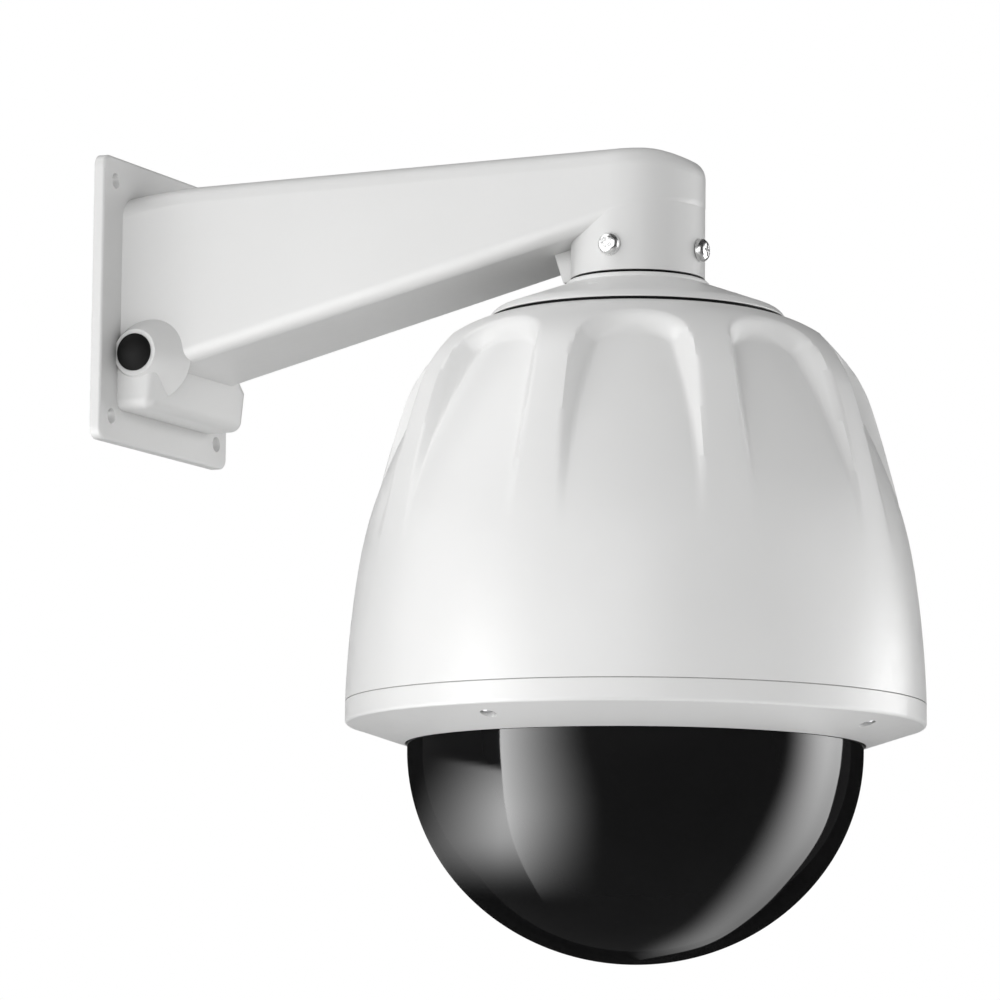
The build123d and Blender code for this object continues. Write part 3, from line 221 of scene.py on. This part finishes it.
def moulded(name, colour, roughness):
    """Small moulded or cast plastic piece: fine grain and slight flow marks."""
    made, tree, shader = new_material(name)
    flow = noise(tree, 120, 3, 0.55)
    tree.links.new(stained(tree, flow, colour, 0.12), shader.inputs["Base Color"])
    uneven = spread(tree, flow, roughness - 0.05, roughness + 0.08)
    tree.links.new(uneven, shader.inputs["Roughness"])
    bump(tree, shader, noise(tree, 1800, 2), 8e-6)
    return made


def circuit_board(name):
    """Green solder resist over copper tracks that show through as a lighter green."""
    made, tree, shader = new_material(name)
    tracks = node(tree, "ShaderNodeTexBrick", offset=0.35, squash=1.0)
    tracks.inputs["Scale"].default_value = 160
    tracks.inputs["Mortar Size"].default_value = 0.08
    tracks.inputs["Color1"].default_value = (0.015, 0.13, 0.05, 1)
    tracks.inputs["Color2"].default_value = (0.02, 0.16, 0.065, 1)
    tracks.inputs["Mortar"].default_value = (0.05, 0.27, 0.12, 1)
    tree.links.new(own_coordinates(tree), tracks.inputs["Vector"])
    tree.links.new(tracks.outputs["Color"], shader.inputs["Base Color"])
    tree.links.new(spread(tree, noise(tree, 400, 3), 0.22, 0.4), shader.inputs["Roughness"])
    bump(tree, shader, tracks.outputs["Fac"], 2e-5)
    return made


def smoked(name, dark, light):
    """Dark smoked dome: polished, with faint moulding flow and wiping marks in the gloss."""
    made, tree, shader = new_material(name)
    flow = spread(tree, noise(tree, 18, 3, 0.5), 0, 1)
    tree.links.new(tint(tree, flow, dark, light), shader.inputs["Base Color"])
    wiping = noise(tree, 500, 4, 0.7, stretch=(1, 1, 0.12))
    tree.links.new(spread(tree, wiping, 0.03, 0.06), shader.inputs["Roughness"])
    bump(tree, shader, noise(tree, 55, 1), 3e-6)
    shader.inputs["Specular IOR Level"].default_value = 0.5
    return made


BRACKET_WHITE = (0.725, 0.725, 0.72)
CAP_WHITE = (0.76, 0.76, 0.755)
SHIELD_WHITE = (0.80, 0.80, 0.795)
RING_WHITE = (0.785, 0.785, 0.78)
ALONG_X = (0.05, 1, 1)     # stretches marks along X
ROUND_Z = (1, 1, 0.1)      # stretches marks along Z

MATERIALS = {
    "bracket_paint": painted("bracket_powder_coat", BRACKET_WHITE, 0.42, 0.6, 8e-6),
    "cap_paint": painted("cap_powder_coat", CAP_WHITE, 0.38, 0.6, 7e-6),
    "shield_white": painted("shield_moulded_skin", SHIELD_WHITE, 0.34, 0.4, 3e-6),
    "ring_white": painted("ring_moulded_skin", RING_WHITE, 0.36, 0.4, 3e-6),
    "black_rubber": rubber("black_rubber", (0.004, 0.004, 0.004)),
    "collar_screw_steel": metal(
        "plated_screw", (0.80, 0.80, 0.80), 0.26, scale=700, wear=0.06, height=8e-7
    ),
    "small_screw_steel": metal("zinc_screw", (0.62, 0.62, 0.63), 0.3),
    "pot_aluminium": spun_metal("spun_aluminium", (0.74, 0.74, 0.75), 0.34),
    "plate_aluminium": metal("brushed_plate", (0.72, 0.72, 0.73), 0.34, stretch=ALONG_X),
    "standoff_brass": metal("turned_brass", (0.78, 0.60, 0.28), 0.25, stretch=ROUND_Z),
    "nylon_natural": moulded("natural_nylon", (0.78, 0.76, 0.68), 0.45),
    "board_green": circuit_board("circuit_board"),
    "terminal_green": moulded("terminal_plastic", (0.05, 0.30, 0.14), 0.4),
    "potting_black": moulded("cast_resin", (0.03, 0.03, 0.035), 0.5),
    "socket_ivory": moulded("socket_plastic", (0.72, 0.69, 0.58), 0.4),
    "fan_black": moulded("fan_plastic", (0.02, 0.02, 0.02), 0.45),
    "heater_aluminium": metal("extruded_heater", (0.50, 0.50, 0.52), 0.4, stretch=(0.03, 1, 1)),
    "switch_metal": metal("drawn_cap", (0.66, 0.66, 0.65), 0.3),
    "dome_smoked": smoked("smoked_dome", (0.014, 0.014, 0.0145), (0.020, 0.020, 0.0205)),
}


# Meshes

SHARP_ON_SKINS = 40        # edges turned by more degrees than this stay sharp
SHARP_ON_SOLIDS = 32


def mesh_object(name, points, faces, slot):
    """New piece on the housing's body, with its finish."""
    mesh = bpy.data.meshes.new(name)
    mesh.from_pydata([tuple(p) for p in points], [], faces)
    mesh.update()
    mesh.validate()
    obj = bpy.data.objects.new(name, mesh)
    bpy.context.scene.collection.objects.link(obj)
    mesh.materials.append(MATERIALS[slot])
    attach(obj, "housing")
    return obj


def shade(obj, sharp_angle):
    """Smooth shading with edges left sharp above an angle."""
    obj.data.shade_smooth()
    obj.data.set_sharp_from_angle(angle=math.radians(sharp_angle))


def closed_grid(rows, columns):
    """Quads of a grid that closes on itself both ways."""
    faces = []
    for i in range(rows):
        this = i * columns
        below = (i + 1) % rows * columns
        for j in range(columns):
            right = (j + 1) % columns
            faces.append((this + j, below + j, below + right, this + right))
    return faces


def open_grid(rows, columns):
    """Quads of a sheet with that many quads down and across."""
    faces = []
    for i in range(rows):
        for j in range(columns):
            corner = i * (columns + 1) + j
            faces.append((corner, corner + 1, corner + columns + 2, corner + columns + 1))
    return faces


def turn_about_axis(r, z, angles):
    """Points in metres at radii and heights in millimetres, one for each angle."""
    height = np.broadcast_to(z * MM, angles.shape)
    return np.stack([AXIS_X + r * MM * np.cos(angles), r * MM * np.sin(angles), height], axis=1)


def all_round(columns):
    return np.arange(columns) * 2 * math.pi / columns


# Sun shield: the moulded shell, with the soft edges that the mould gives its pockets

CAP_RIM_R = 61.5
LIP_Z = -18.8
SHIELD_WALL = 3.0
TOP_ANGLE = math.radians(13.5)
SHOULDER_R = 50.6
SHOULDER_TURN = math.radians(58.3)
SIDE_R = 437.0
BOTTOM_Z = -177.5
THROAT_R = 50.0
POCKETS = 9
POCKET_FIRST = math.radians(-66.8)
POCKET_TOP = np.array([78.0, -34.3])
POCKET_ANGLE = math.radians(56.2)
POCKET_FLOOR_R = 261.0
POCKET_LENGTH = 86.4
POCKET_TOP_HALF = 15.2
POCKET_END_HALF = 31.0
SIDE_SPREAD = 0.85         # how far the pocket's sides draw apart for each millimetre outwards
TOP_SPREAD = 2.3           # how far its crown rises for each millimetre outwards
RIM_SOFTNESS = 1.5
FLOOR_SOFTNESS = 2.6
WALL_PROBE = 0.5           # step inwards that measures the slope of a pocket's wall
FLATTEST_WALL = 0.2
COLUMNS_A_POCKET = 48
OUTSIDE_ROWS = 150
INSIDE_ROWS = 46


def shield_profile(steps):
    """Points (r, z) on the shield's outside from top to bottom, and their outward normals."""
    start = np.array([CAP_RIM_R, LIP_Z])
    shoulder_centre = start - SHOULDER_R * np.array([math.sin(TOP_ANGLE), math.cos(TOP_ANGLE)])
    join = TOP_ANGLE + SHOULDER_TURN
    join_normal = np.array([math.sin(join), math.cos(join)])
    join_point = shoulder_centre + SHOULDER_R * join_normal
    side_centre = join_point - SIDE_R * join_normal
    end = math.acos(math.cos(join) - (join_point[1] - BOTTOM_Z) / SIDE_R)
    shoulder_length = SHOULDER_R * SHOULDER_TURN
    side_length = SIDE_R * (end - join)
    points = []
    normals = []
    for s in np.linspace(0, shoulder_length + side_length, steps):
        if s < shoulder_length:
            angle = TOP_ANGLE + s / SHOULDER_R
            centre, radius = shoulder_centre, SHOULDER_R
        else:
            angle = join + (s - shoulder_length) / SIDE_R
            centre, radius = side_centre, SIDE_R
        normal = np.array([math.sin(angle), math.cos(angle)])
        points.append(centre + radius * normal)
        normals.append(normal)
    return np.array(points), np.array(normals)


def floor_depth(point, normal):
    """How far the pockets' floor lies under a point of the shield, along its normal."""
    away = np.array([math.sin(POCKET_ANGLE), math.cos(POCKET_ANGLE)])
    along = np.array([math.cos(POCKET_ANGLE), -math.sin(POCKET_ANGLE)])
    line_depth = (point - POCKET_TOP) @ away / (normal @ away)
    if (point - line_depth * normal - POCKET_TOP) @ along < 0:
        return line_depth
    offset = point - (POCKET_TOP - POCKET_FLOOR_R * away)
    reach = offset @ normal
    inside = reach**2 - (offset @ offset - POCKET_FLOOR_R**2)
    return reach - math.sqrt(max(inside, 0.0))


def arch_inside(r, z, turn):
    """Distance inside the pocket's arch of points at a turn from the pocket's middle."""
    chord = POCKET_ANGLE + POCKET_LENGTH / POCKET_FLOOR_R / 2
    forward = r * np.cos(turn) - POCKET_TOP[0]
    rise = z - POCKET_TOP[1]
    height = forward * math.sin(chord) + rise * math.cos(chord)
    up = rise * math.sin(chord) - forward * math.cos(chord)
    across = np.abs(r * np.sin(turn))
    lean = math.atan2(POCKET_END_HALF - POCKET_TOP_HALF, POCKET_LENGTH)
    half_top = POCKET_TOP_HALF + height * SIDE_SPREAD / math.cos(lean)
    raised = height * TOP_SPREAD
    crown_r = (half_top - raised * math.tan(lean)) * math.cos(lean) / (1 - math.sin(lean))
    centre_up = raised - crown_r
    past_crown = (up - centre_up) > across * math.tan(lean)
    to_crown = crown_r - np.hypot(across, up - centre_up)
    to_side = (half_top - up * math.tan(lean) - across) * math.cos(lean)
    return np.where(past_crown, to_crown, to_side)


def soft_min(a, b, width):
    """The lower of two values, blended over a width."""
    mix = np.clip(0.5 + 0.5 * (b - a) / width, 0, 1)
    return b * (1 - mix) + a * mix - width * mix * (1 - mix)


def soft_max(a, b, width):
    """The higher of two values, blended over a width."""
    return -soft_min(-a, -b, width)


def pocket_depth(point, normal, turns):
    """Depth of the pocket under one height of the shield, at turns from the pocket's middle."""
    here = arch_inside(point[0], point[1], turns)
    deeper = point - WALL_PROBE * normal
    there = arch_inside(deeper[0], deeper[1], turns)
    wall = here * WALL_PROBE / np.maximum(here - there, FLATTEST_WALL * WALL_PROBE)
    floor = floor_depth(point, normal)
    return np.maximum(soft_max(soft_min(wall, floor, FLOOR_SOFTNESS), 0, RIM_SOFTNESS), 0)


def shield_skin(turns, count, below_surface):
    """Rows (r, z) down the shell, that far under its outside."""
    rows = []
    for point, normal in zip(*shield_profile(count)):
        depth = pocket_depth(point, normal, turns) + below_surface
        rows.append((point[0] - depth * normal[0], point[1] - depth * normal[1]))
    return rows


def sun_shield():
    """Shell with its pockets, as one closed skin: throat, outside, lower edge, inside."""
    columns = COLUMNS_A_POCKET * POCKETS
    angles = all_round(columns)
    pitch = 2 * math.pi / POCKETS
    turns = (angles - POCKET_FIRST + pitch / 2) % pitch - pitch / 2
    throat = np.full(columns, THROAT_R)
    inside = [
        (r, np.maximum(z, BOTTOM_Z))
        for r, z in reversed(shield_skin(turns, INSIDE_ROWS, SHIELD_WALL))
    ]
    inside[0] = (inside[0][0], np.full(columns, BOTTOM_Z))
    rows = [(throat, LIP_Z - SHIELD_WALL), (throat, LIP_Z)]
    rows += shield_skin(turns, OUTSIDE_ROWS, 0.0)
    rows += inside
    points = np.concatenate([turn_about_axis(r, z, angles) for r, z in rows])
    obj = mesh_object("sun_shield_skin", points, closed_grid(len(rows), columns), "shield_white")
    shade(obj, SHARP_ON_SKINS)
    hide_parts("sun_shield")


# Dome

DOME_R = 93.775
DOME_DEPTH = 87.5
DOME_WALL = 2.6
DOME_CENTRE_Z = -196.8
DOME_FLANGE_R = 101.775
FLANGE_BOTTOM_Z = -188.0
FLANGE_TOP_Z = -185.2
FLANGE_CORNER = 0.4
POLE_R = 0.4               # the skins close round the pole to this radius
DOME_COLUMNS = 240
BOWL_ROWS = 72
HOLLOW_ROWS = 40


def quarter_ellipse(a, b, steps):
    """Points (r, z) from the pole up to the rim."""
    turns = np.linspace(math.asin(POLE_R / a), math.pi / 2, steps)
    return [(a * math.sin(t), DOME_CENTRE_Z - b * math.cos(t)) for t in turns]


def dome():
    """Smoked bowl with its skirt and clamped flange, turned as one closed skin."""
    hollow_r = DOME_R - DOME_WALL
    outline = quarter_ellipse(DOME_R, DOME_DEPTH, BOWL_ROWS)
    outline += [
        (DOME_R, FLANGE_BOTTOM_Z - FLANGE_CORNER),
        (DOME_R + FLANGE_CORNER, FLANGE_BOTTOM_Z),
        (DOME_FLANGE_R, FLANGE_BOTTOM_Z),
        (DOME_FLANGE_R, FLANGE_TOP_Z),
        (hollow_r, FLANGE_TOP_Z),
    ]
    outline += reversed(quarter_ellipse(hollow_r, DOME_DEPTH - DOME_WALL, HOLLOW_ROWS))
    angles = all_round(DOME_COLUMNS)
    points = np.concatenate([turn_about_axis(r, z, angles) for r, z in outline])
    faces = closed_grid(len(outline), DOME_COLUMNS)
    obj = mesh_object("dome_bowl", points, faces, "dome_smoked")
    shade(obj, SHARP_ON_SKINS)
    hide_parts("dome_cover")
    return obj


# Camera


def camera_axes():
    """Right, up and forward of the camera."""
    turn, pitch, roll = (math.radians(a) for a in (CAMERA_TURN, CAMERA_PITCH, CAMERA_ROLL))
    level = math.cos(pitch)
    forward = Vector((-math.sin(turn) * level, math.cos(turn) * level, math.sin(pitch)))
    level_right = Vector((math.cos(turn), math.sin(turn), 0))
    level_up = level_right.cross(forward)
    right = math.cos(roll) * level_right + math.sin(roll) * level_up
    up = math.cos(roll) * level_up - math.sin(roll) * level_right
    return right, up, forward


def make_camera():
    right, up, forward = camera_axes()
    data = bpy.data.cameras.new("camera")
    data.sensor_width = SENSOR_WIDTH
    data.lens = CAMERA_LENS
    data.clip_start = 0.05
    data.clip_end = 60
    obj = bpy.data.objects.new("camera", data)
    bpy.context.scene.collection.objects.link(obj)
    rotation = Matrix((right, up, -forward)).transposed()
    obj.matrix_world = Matrix.Translation(Vector(CAMERA_AT)) @ rotation.to_4x4()
    bpy.context.scene.camera = obj


# Room and lamps. Azimuth 0 is in front of the housing, at -Y, and 90 is beyond the dome, at +X.

LAMP_AIM = Vector((0.15, 0, -0.1))
AMBIENT = 0.20             # even light on the surfaces
MIRRORED_ROOM = 0.05       # what mirrors see where no lamp or card hangs
WHITE_ROOM = 1.0           # what the camera sees behind the housing
FLOOR_Z = -1.3
FLOOR_HALF = 6.0
FLOOR_GREY = (0.6, 0.6, 0.6)
FLOOR_SEEN = (0.97, 0.97, 0.97)
SQUARE = ((-1, -1), (1, -1), (1, 1), (-1, 1))

# name: azimuth, elevation, distance, width, height, watts
LAMPS = {
    "key": (-65, 5, 3.2, 2.2, 2.2, 27),
    "left_front": (-28, 4, 3.2, 2.2, 2.2, 10),
    "front": (14, 5, 3.2, 2.2, 2.2, 43),
    "right": (105, 6, 3.2, 1.6, 2.2, 20),
    "right_back": (140, 6, 3.2, 1.6, 2.2, 21),
    "below": (0, -82, 1.0, 2.2, 2.2, 8),
    "above": (-55, 50, 3.2, 2.2, 2.2, 34),
}


def all_but(obj):
    """Receivers of a lamp's light: everything but one piece."""
    collection = bpy.data.collections.new("lit_by_lamps")
    collection.objects.link(obj)
    for entry in collection.collection_objects:
        entry.light_linking.link_state = "EXCLUDE"
    return collection


def area_light(name, receivers, azimuth, elevation, distance, width, height, power):
    """Soft lamp on the side of that azimuth, turned to the part."""
    a, e = math.radians(azimuth), math.radians(elevation)
    away = Vector((math.sin(a) * math.cos(e), -math.cos(a) * math.cos(e), math.sin(e)))
    data = bpy.data.lights.new(name, "AREA")
    data.shape = "RECTANGLE"
    data.size = width
    data.size_y = height
    data.energy = power
    obj = bpy.data.objects.new(name, data)
    bpy.context.scene.collection.objects.link(obj)
    obj.location = LAMP_AIM + away * distance
    obj.rotation_mode = "QUATERNION"
    obj.rotation_quaternion = (-away).to_track_quat("-Z", "Y")
    obj.visible_camera = False
    obj.light_linking.receiver_collection = receivers


def make_world():
    """White to the camera, an even grey room to the surfaces and a darker one to mirrors."""
    world = bpy.data.worlds.new("studio")
    bpy.context.scene.world = world
    world.use_nodes = True
    tree = world.node_tree
    tree.nodes.clear()
    path = node(tree, "ShaderNodeLightPath")

    def background(strength):
        made = node(tree, "ShaderNodeBackground")
        made.inputs["Color"].default_value = (1, 1, 1, 1)
        made.inputs["Strength"].default_value = strength
        return made.outputs["Background"]

    result = background(AMBIENT)
    for ray, strength in (("Is Glossy Ray", MIRRORED_ROOM), ("Is Camera Ray", WHITE_ROOM)):
        mixed = node(tree, "ShaderNodeMixShader")
        tree.links.new(path.outputs[ray], mixed.inputs["Fac"])
        tree.links.new(result, mixed.inputs[1])
        tree.links.new(background(strength), mixed.inputs[2])
        result = mixed.outputs["Shader"]
    tree.links.new(result, node(tree, "ShaderNodeOutputWorld").inputs["Surface"])


def make_floor():
    """Pale floor far below the housing, white to the camera where no shadow falls."""
    mesh = bpy.data.meshes.new("floor")
    corners = [(x * FLOOR_HALF, y * FLOOR_HALF, FLOOR_Z) for x, y in SQUARE]
    mesh.from_pydata(corners, [], [(0, 1, 2, 3)])
    obj = bpy.data.objects.new("floor", mesh)
    bpy.context.scene.collection.objects.link(obj)
    made, tree, shader = new_material("pale_floor")
    shader.inputs["Roughness"].default_value = 0.9
    shader.inputs["Specular IOR Level"].default_value = 0.0
    seen = node(tree, "ShaderNodeLightPath").outputs["Is Camera Ray"]
    tree.links.new(tint(tree, seen, FLOOR_GREY, FLOOR_SEEN), shader.inputs["Base Color"])
    mesh.materials.append(made)
    obj.visible_glossy = False


# Studio cards that only mirrors see. Each is laid out where the dome shows it in the image,
# between two edges, and hung on a sphere round the dome.

CARD_SPHERE_R = 1.0
CARD_ROWS = 48
CARD_COLUMNS = 32
DOME_SCALE = Vector((DOME_R, DOME_R, DOME_DEPTH)) * MM
DOME_CENTRE = Vector((AXIS_X, 0, DOME_CENTRE_Z * MM))
FLAG_DISTANCE = 2.0
FLAG_HALF = 2.0

# Edges of the reflections in image points, from the dome's rim under the ring downwards
BAND_LEFT = [(500, 715), (500, 745), (502, 775), (505, 805), (512, 838), (525, 870), (545, 905)]
BAND_RIGHT = [(588, 715), (592, 745), (600, 775), (605, 805), (606, 838), (604, 870), (600, 905)]
GLOW_LEFT = [(409, 715), (409, 745), (412, 775), (416, 805), (424, 838), (438, 870), (462, 905)]
CRESCENT_OUTER = [
    (846, 715), (843, 740), (838, 780), (823, 830), (793, 875), (754, 915), (706, 945), (640, 960)
]
CRESCENT_INNER = [
    (784, 715), (784, 740), (776, 780), (756, 826), (735, 862), (706, 898), (674, 926), (620, 950)
]
GLOW_MIDDLE = (515, 812)
GLOW_CUT_LEFT = (430, 755)     # the glow's top is cut along a line from here
GLOW_CUT_SLOPE = 0.19


def mirrors_only(obj):
    """A piece of studio gear that only mirrors see."""
    bpy.context.scene.collection.objects.link(obj)
    obj.visible_camera = False
    obj.visible_diffuse = False
    obj.visible_transmission = False
    obj.visible_volume_scatter = False
    obj.visible_shadow = False


def card_point(x, y):
    """Point of the card sphere that the dome mirrors at a point of the image."""
    right, up, forward = camera_axes()
    focal = CAMERA_LENS / SENSOR_WIDTH * IMAGE_SIZE
    ray = forward + (x - IMAGE_SIZE / 2) / focal * right - (y - IMAGE_SIZE / 2) / focal * up
    ray.normalize()
    start = Vector(CAMERA_AT) - DOME_CENTRE
    near = Vector([a / b for a, b in zip(start, DOME_SCALE)])
    step = Vector([a / b for a, b in zip(ray, DOME_SCALE)])
    half = near.dot(step)
    root = math.sqrt(max(half**2 - step.dot(step) * (near.dot(near) - 1), 0))
    met = start - (half + root) / step.dot(step) * ray
    normal = Vector([a / b**2 for a, b in zip(met, DOME_SCALE)]).normalized()
    mirrored = ray - 2 * ray.dot(normal) * normal
    along = met.dot(mirrored)
    reach = math.sqrt(along**2 - met.dot(met) + CARD_SPHERE_R**2) - along
    return DOME_CENTRE + met + reach * mirrored


def smooth(start, end, value):
    """0 before the start, 1 past the end, and a smooth step between them, either way round."""
    t = min(max((value - start) / (end - start), 0), 1)
    return t * t * (3 - 2 * t)


def between(edge, fraction):
    """Point at a fraction of the way along a smooth line through a row of points."""
    last = len(edge) - 1
    first = min(int(fraction * last), last - 1)
    t = fraction * last - first
    near = [Vector(edge[min(max(first + k, 0), last)]) for k in (-1, 0, 1, 2)]
    lead = (near[2] - near[0]) / 2
    trail = (near[3] - near[1]) / 2
    from_start = 2 * t**3 - 3 * t**2 + 1
    bend_start = t**3 - 2 * t**2 + t
    bend_end = t**3 - t**2
    return (
        from_start * near[1]
        + bend_start * lead
        + (1 - from_start) * near[2]
        + bend_end * trail
    )


def glow_material(name, strength):
    """Clear sheet that glows by its tone attribute."""
    made = bpy.data.materials.new(name)
    made.use_nodes = True
    tree = made.node_tree
    tree.nodes.clear()
    tone = node(tree, "ShaderNodeAttribute", attribute_name="tone").outputs["Fac"]
    scaled = node(tree, "ShaderNodeMath", operation="MULTIPLY")
    scaled.inputs[1].default_value = strength
    glow = node(tree, "ShaderNodeEmission")
    clear = node(tree, "ShaderNodeBsdfTransparent")
    both = node(tree, "ShaderNodeAddShader")
    out = node(tree, "ShaderNodeOutputMaterial")
    tree.links.new(tone, scaled.inputs[0])
    tree.links.new(scaled.outputs[0], glow.inputs["Strength"])
    tree.links.new(glow.outputs[0], both.inputs[0])
    tree.links.new(clear.outputs[0], both.inputs[1])
    tree.links.new(both.outputs[0], out.inputs["Surface"])
    return made


def card(name, one_edge, other_edge, tone, strength):
    """Glowing card between two edges in the image, brightest where tone(x, y, across) is 1."""
    points = []
    tones = []
    for i in range(CARD_ROWS + 1):
        a = between(one_edge, i / CARD_ROWS)
        b = between(other_edge, i / CARD_ROWS)
        for j in range(CARD_COLUMNS + 1):
            across = j / CARD_COLUMNS
            x, y = a + (b - a) * across
            points.append(tuple(card_point(x, y)))
            tones.append(tone(x, y, across))
    mesh = bpy.data.meshes.new(name)
    mesh.from_pydata(points, [], open_grid(CARD_ROWS, CARD_COLUMNS))
    layer = mesh.attributes.new("tone", "FLOAT", "POINT")
    layer.data.foreach_set("value", tones)
    mesh.materials.append(glow_material(name, strength))
    mirrors_only(bpy.data.objects.new(name, mesh))


def band_tone(x, y, across):
    """Brightest along its left edge, and gone before its lower end."""
    return (1 - across) ** 1.8 * smooth(905, 800, y)


def glow_tone(x, y, across):
    """Round glow, cut off along a slanted line at its top and dimmed towards the dome's rim."""
    cut = GLOW_CUT_LEFT[1] + (x - GLOW_CUT_LEFT[0]) * GLOW_CUT_SLOPE
    falling = smooth(105, -15, math.hypot(x - GLOW_MIDDLE[0], y - GLOW_MIDDLE[1]))
    ends = smooth(cut - 3, cut + 5, y) * smooth(902, 835, y)
    towards_rim = min(1 - (500 - x) / 110, 1)
    return falling * ends * towards_rim


def crescent_tone(x, y, across):
    """Brightest near its outer edge at the top, fading inwards and towards its tail."""
    outer_edge = 0.62 + 0.38 * smooth(0, 0.3, across)
    tail = (1 - 0.8 * smooth(740, 950, y)) * smooth(625, 730, x)
    return outer_edge * smooth(1.0, 0.35, across) * tail


def black_flag():
    """Black cloth behind the housing, which keeps the dome's rim and the far edges dark."""
    right, up, forward = camera_axes()
    middle = DOME_CENTRE + FLAG_DISTANCE * forward
    corners = [tuple(middle + FLAG_HALF * (a * right + b * up)) for a, b in SQUARE]
    mesh = bpy.data.meshes.new("black_flag")
    mesh.from_pydata(corners, [], [(0, 1, 2, 3)])
    made, tree, shader = new_material("black_cloth")
    shader.inputs["Base Color"].default_value = (0.01, 0.01, 0.01, 1)
    shader.inputs["Roughness"].default_value = 1.0
    shader.inputs["Specular IOR Level"].default_value = 0.0
    mesh.materials.append(made)
    mirrors_only(bpy.data.objects.new("black_flag", mesh))


# The dressed housing

for name, obj in NODES.items():
    obj.data.materials.clear()
    obj.data.materials.append(MATERIALS[SLOT_OF[name]])

sun_shield()
bowl = dome()

for obj in NODES.values():
    shade(obj, SHARP_ON_SOLIDS)

# The studio

make_world()
make_floor()
make_camera()
lit_by_lamps = all_but(bowl)
for name, placing in LAMPS.items():
    area_light(name, lit_by_lamps, *placing)
black_flag()
card("card_band", BAND_LEFT, BAND_RIGHT, band_tone, strength=11.0)
card("card_glow", BAND_LEFT, GLOW_LEFT, glow_tone, strength=8.8)
card("card_crescent", CRESCENT_OUTER, CRESCENT_INNER, crescent_tone, strength=6.0)

bpy.context.scene.view_settings.view_transform = "Standard"
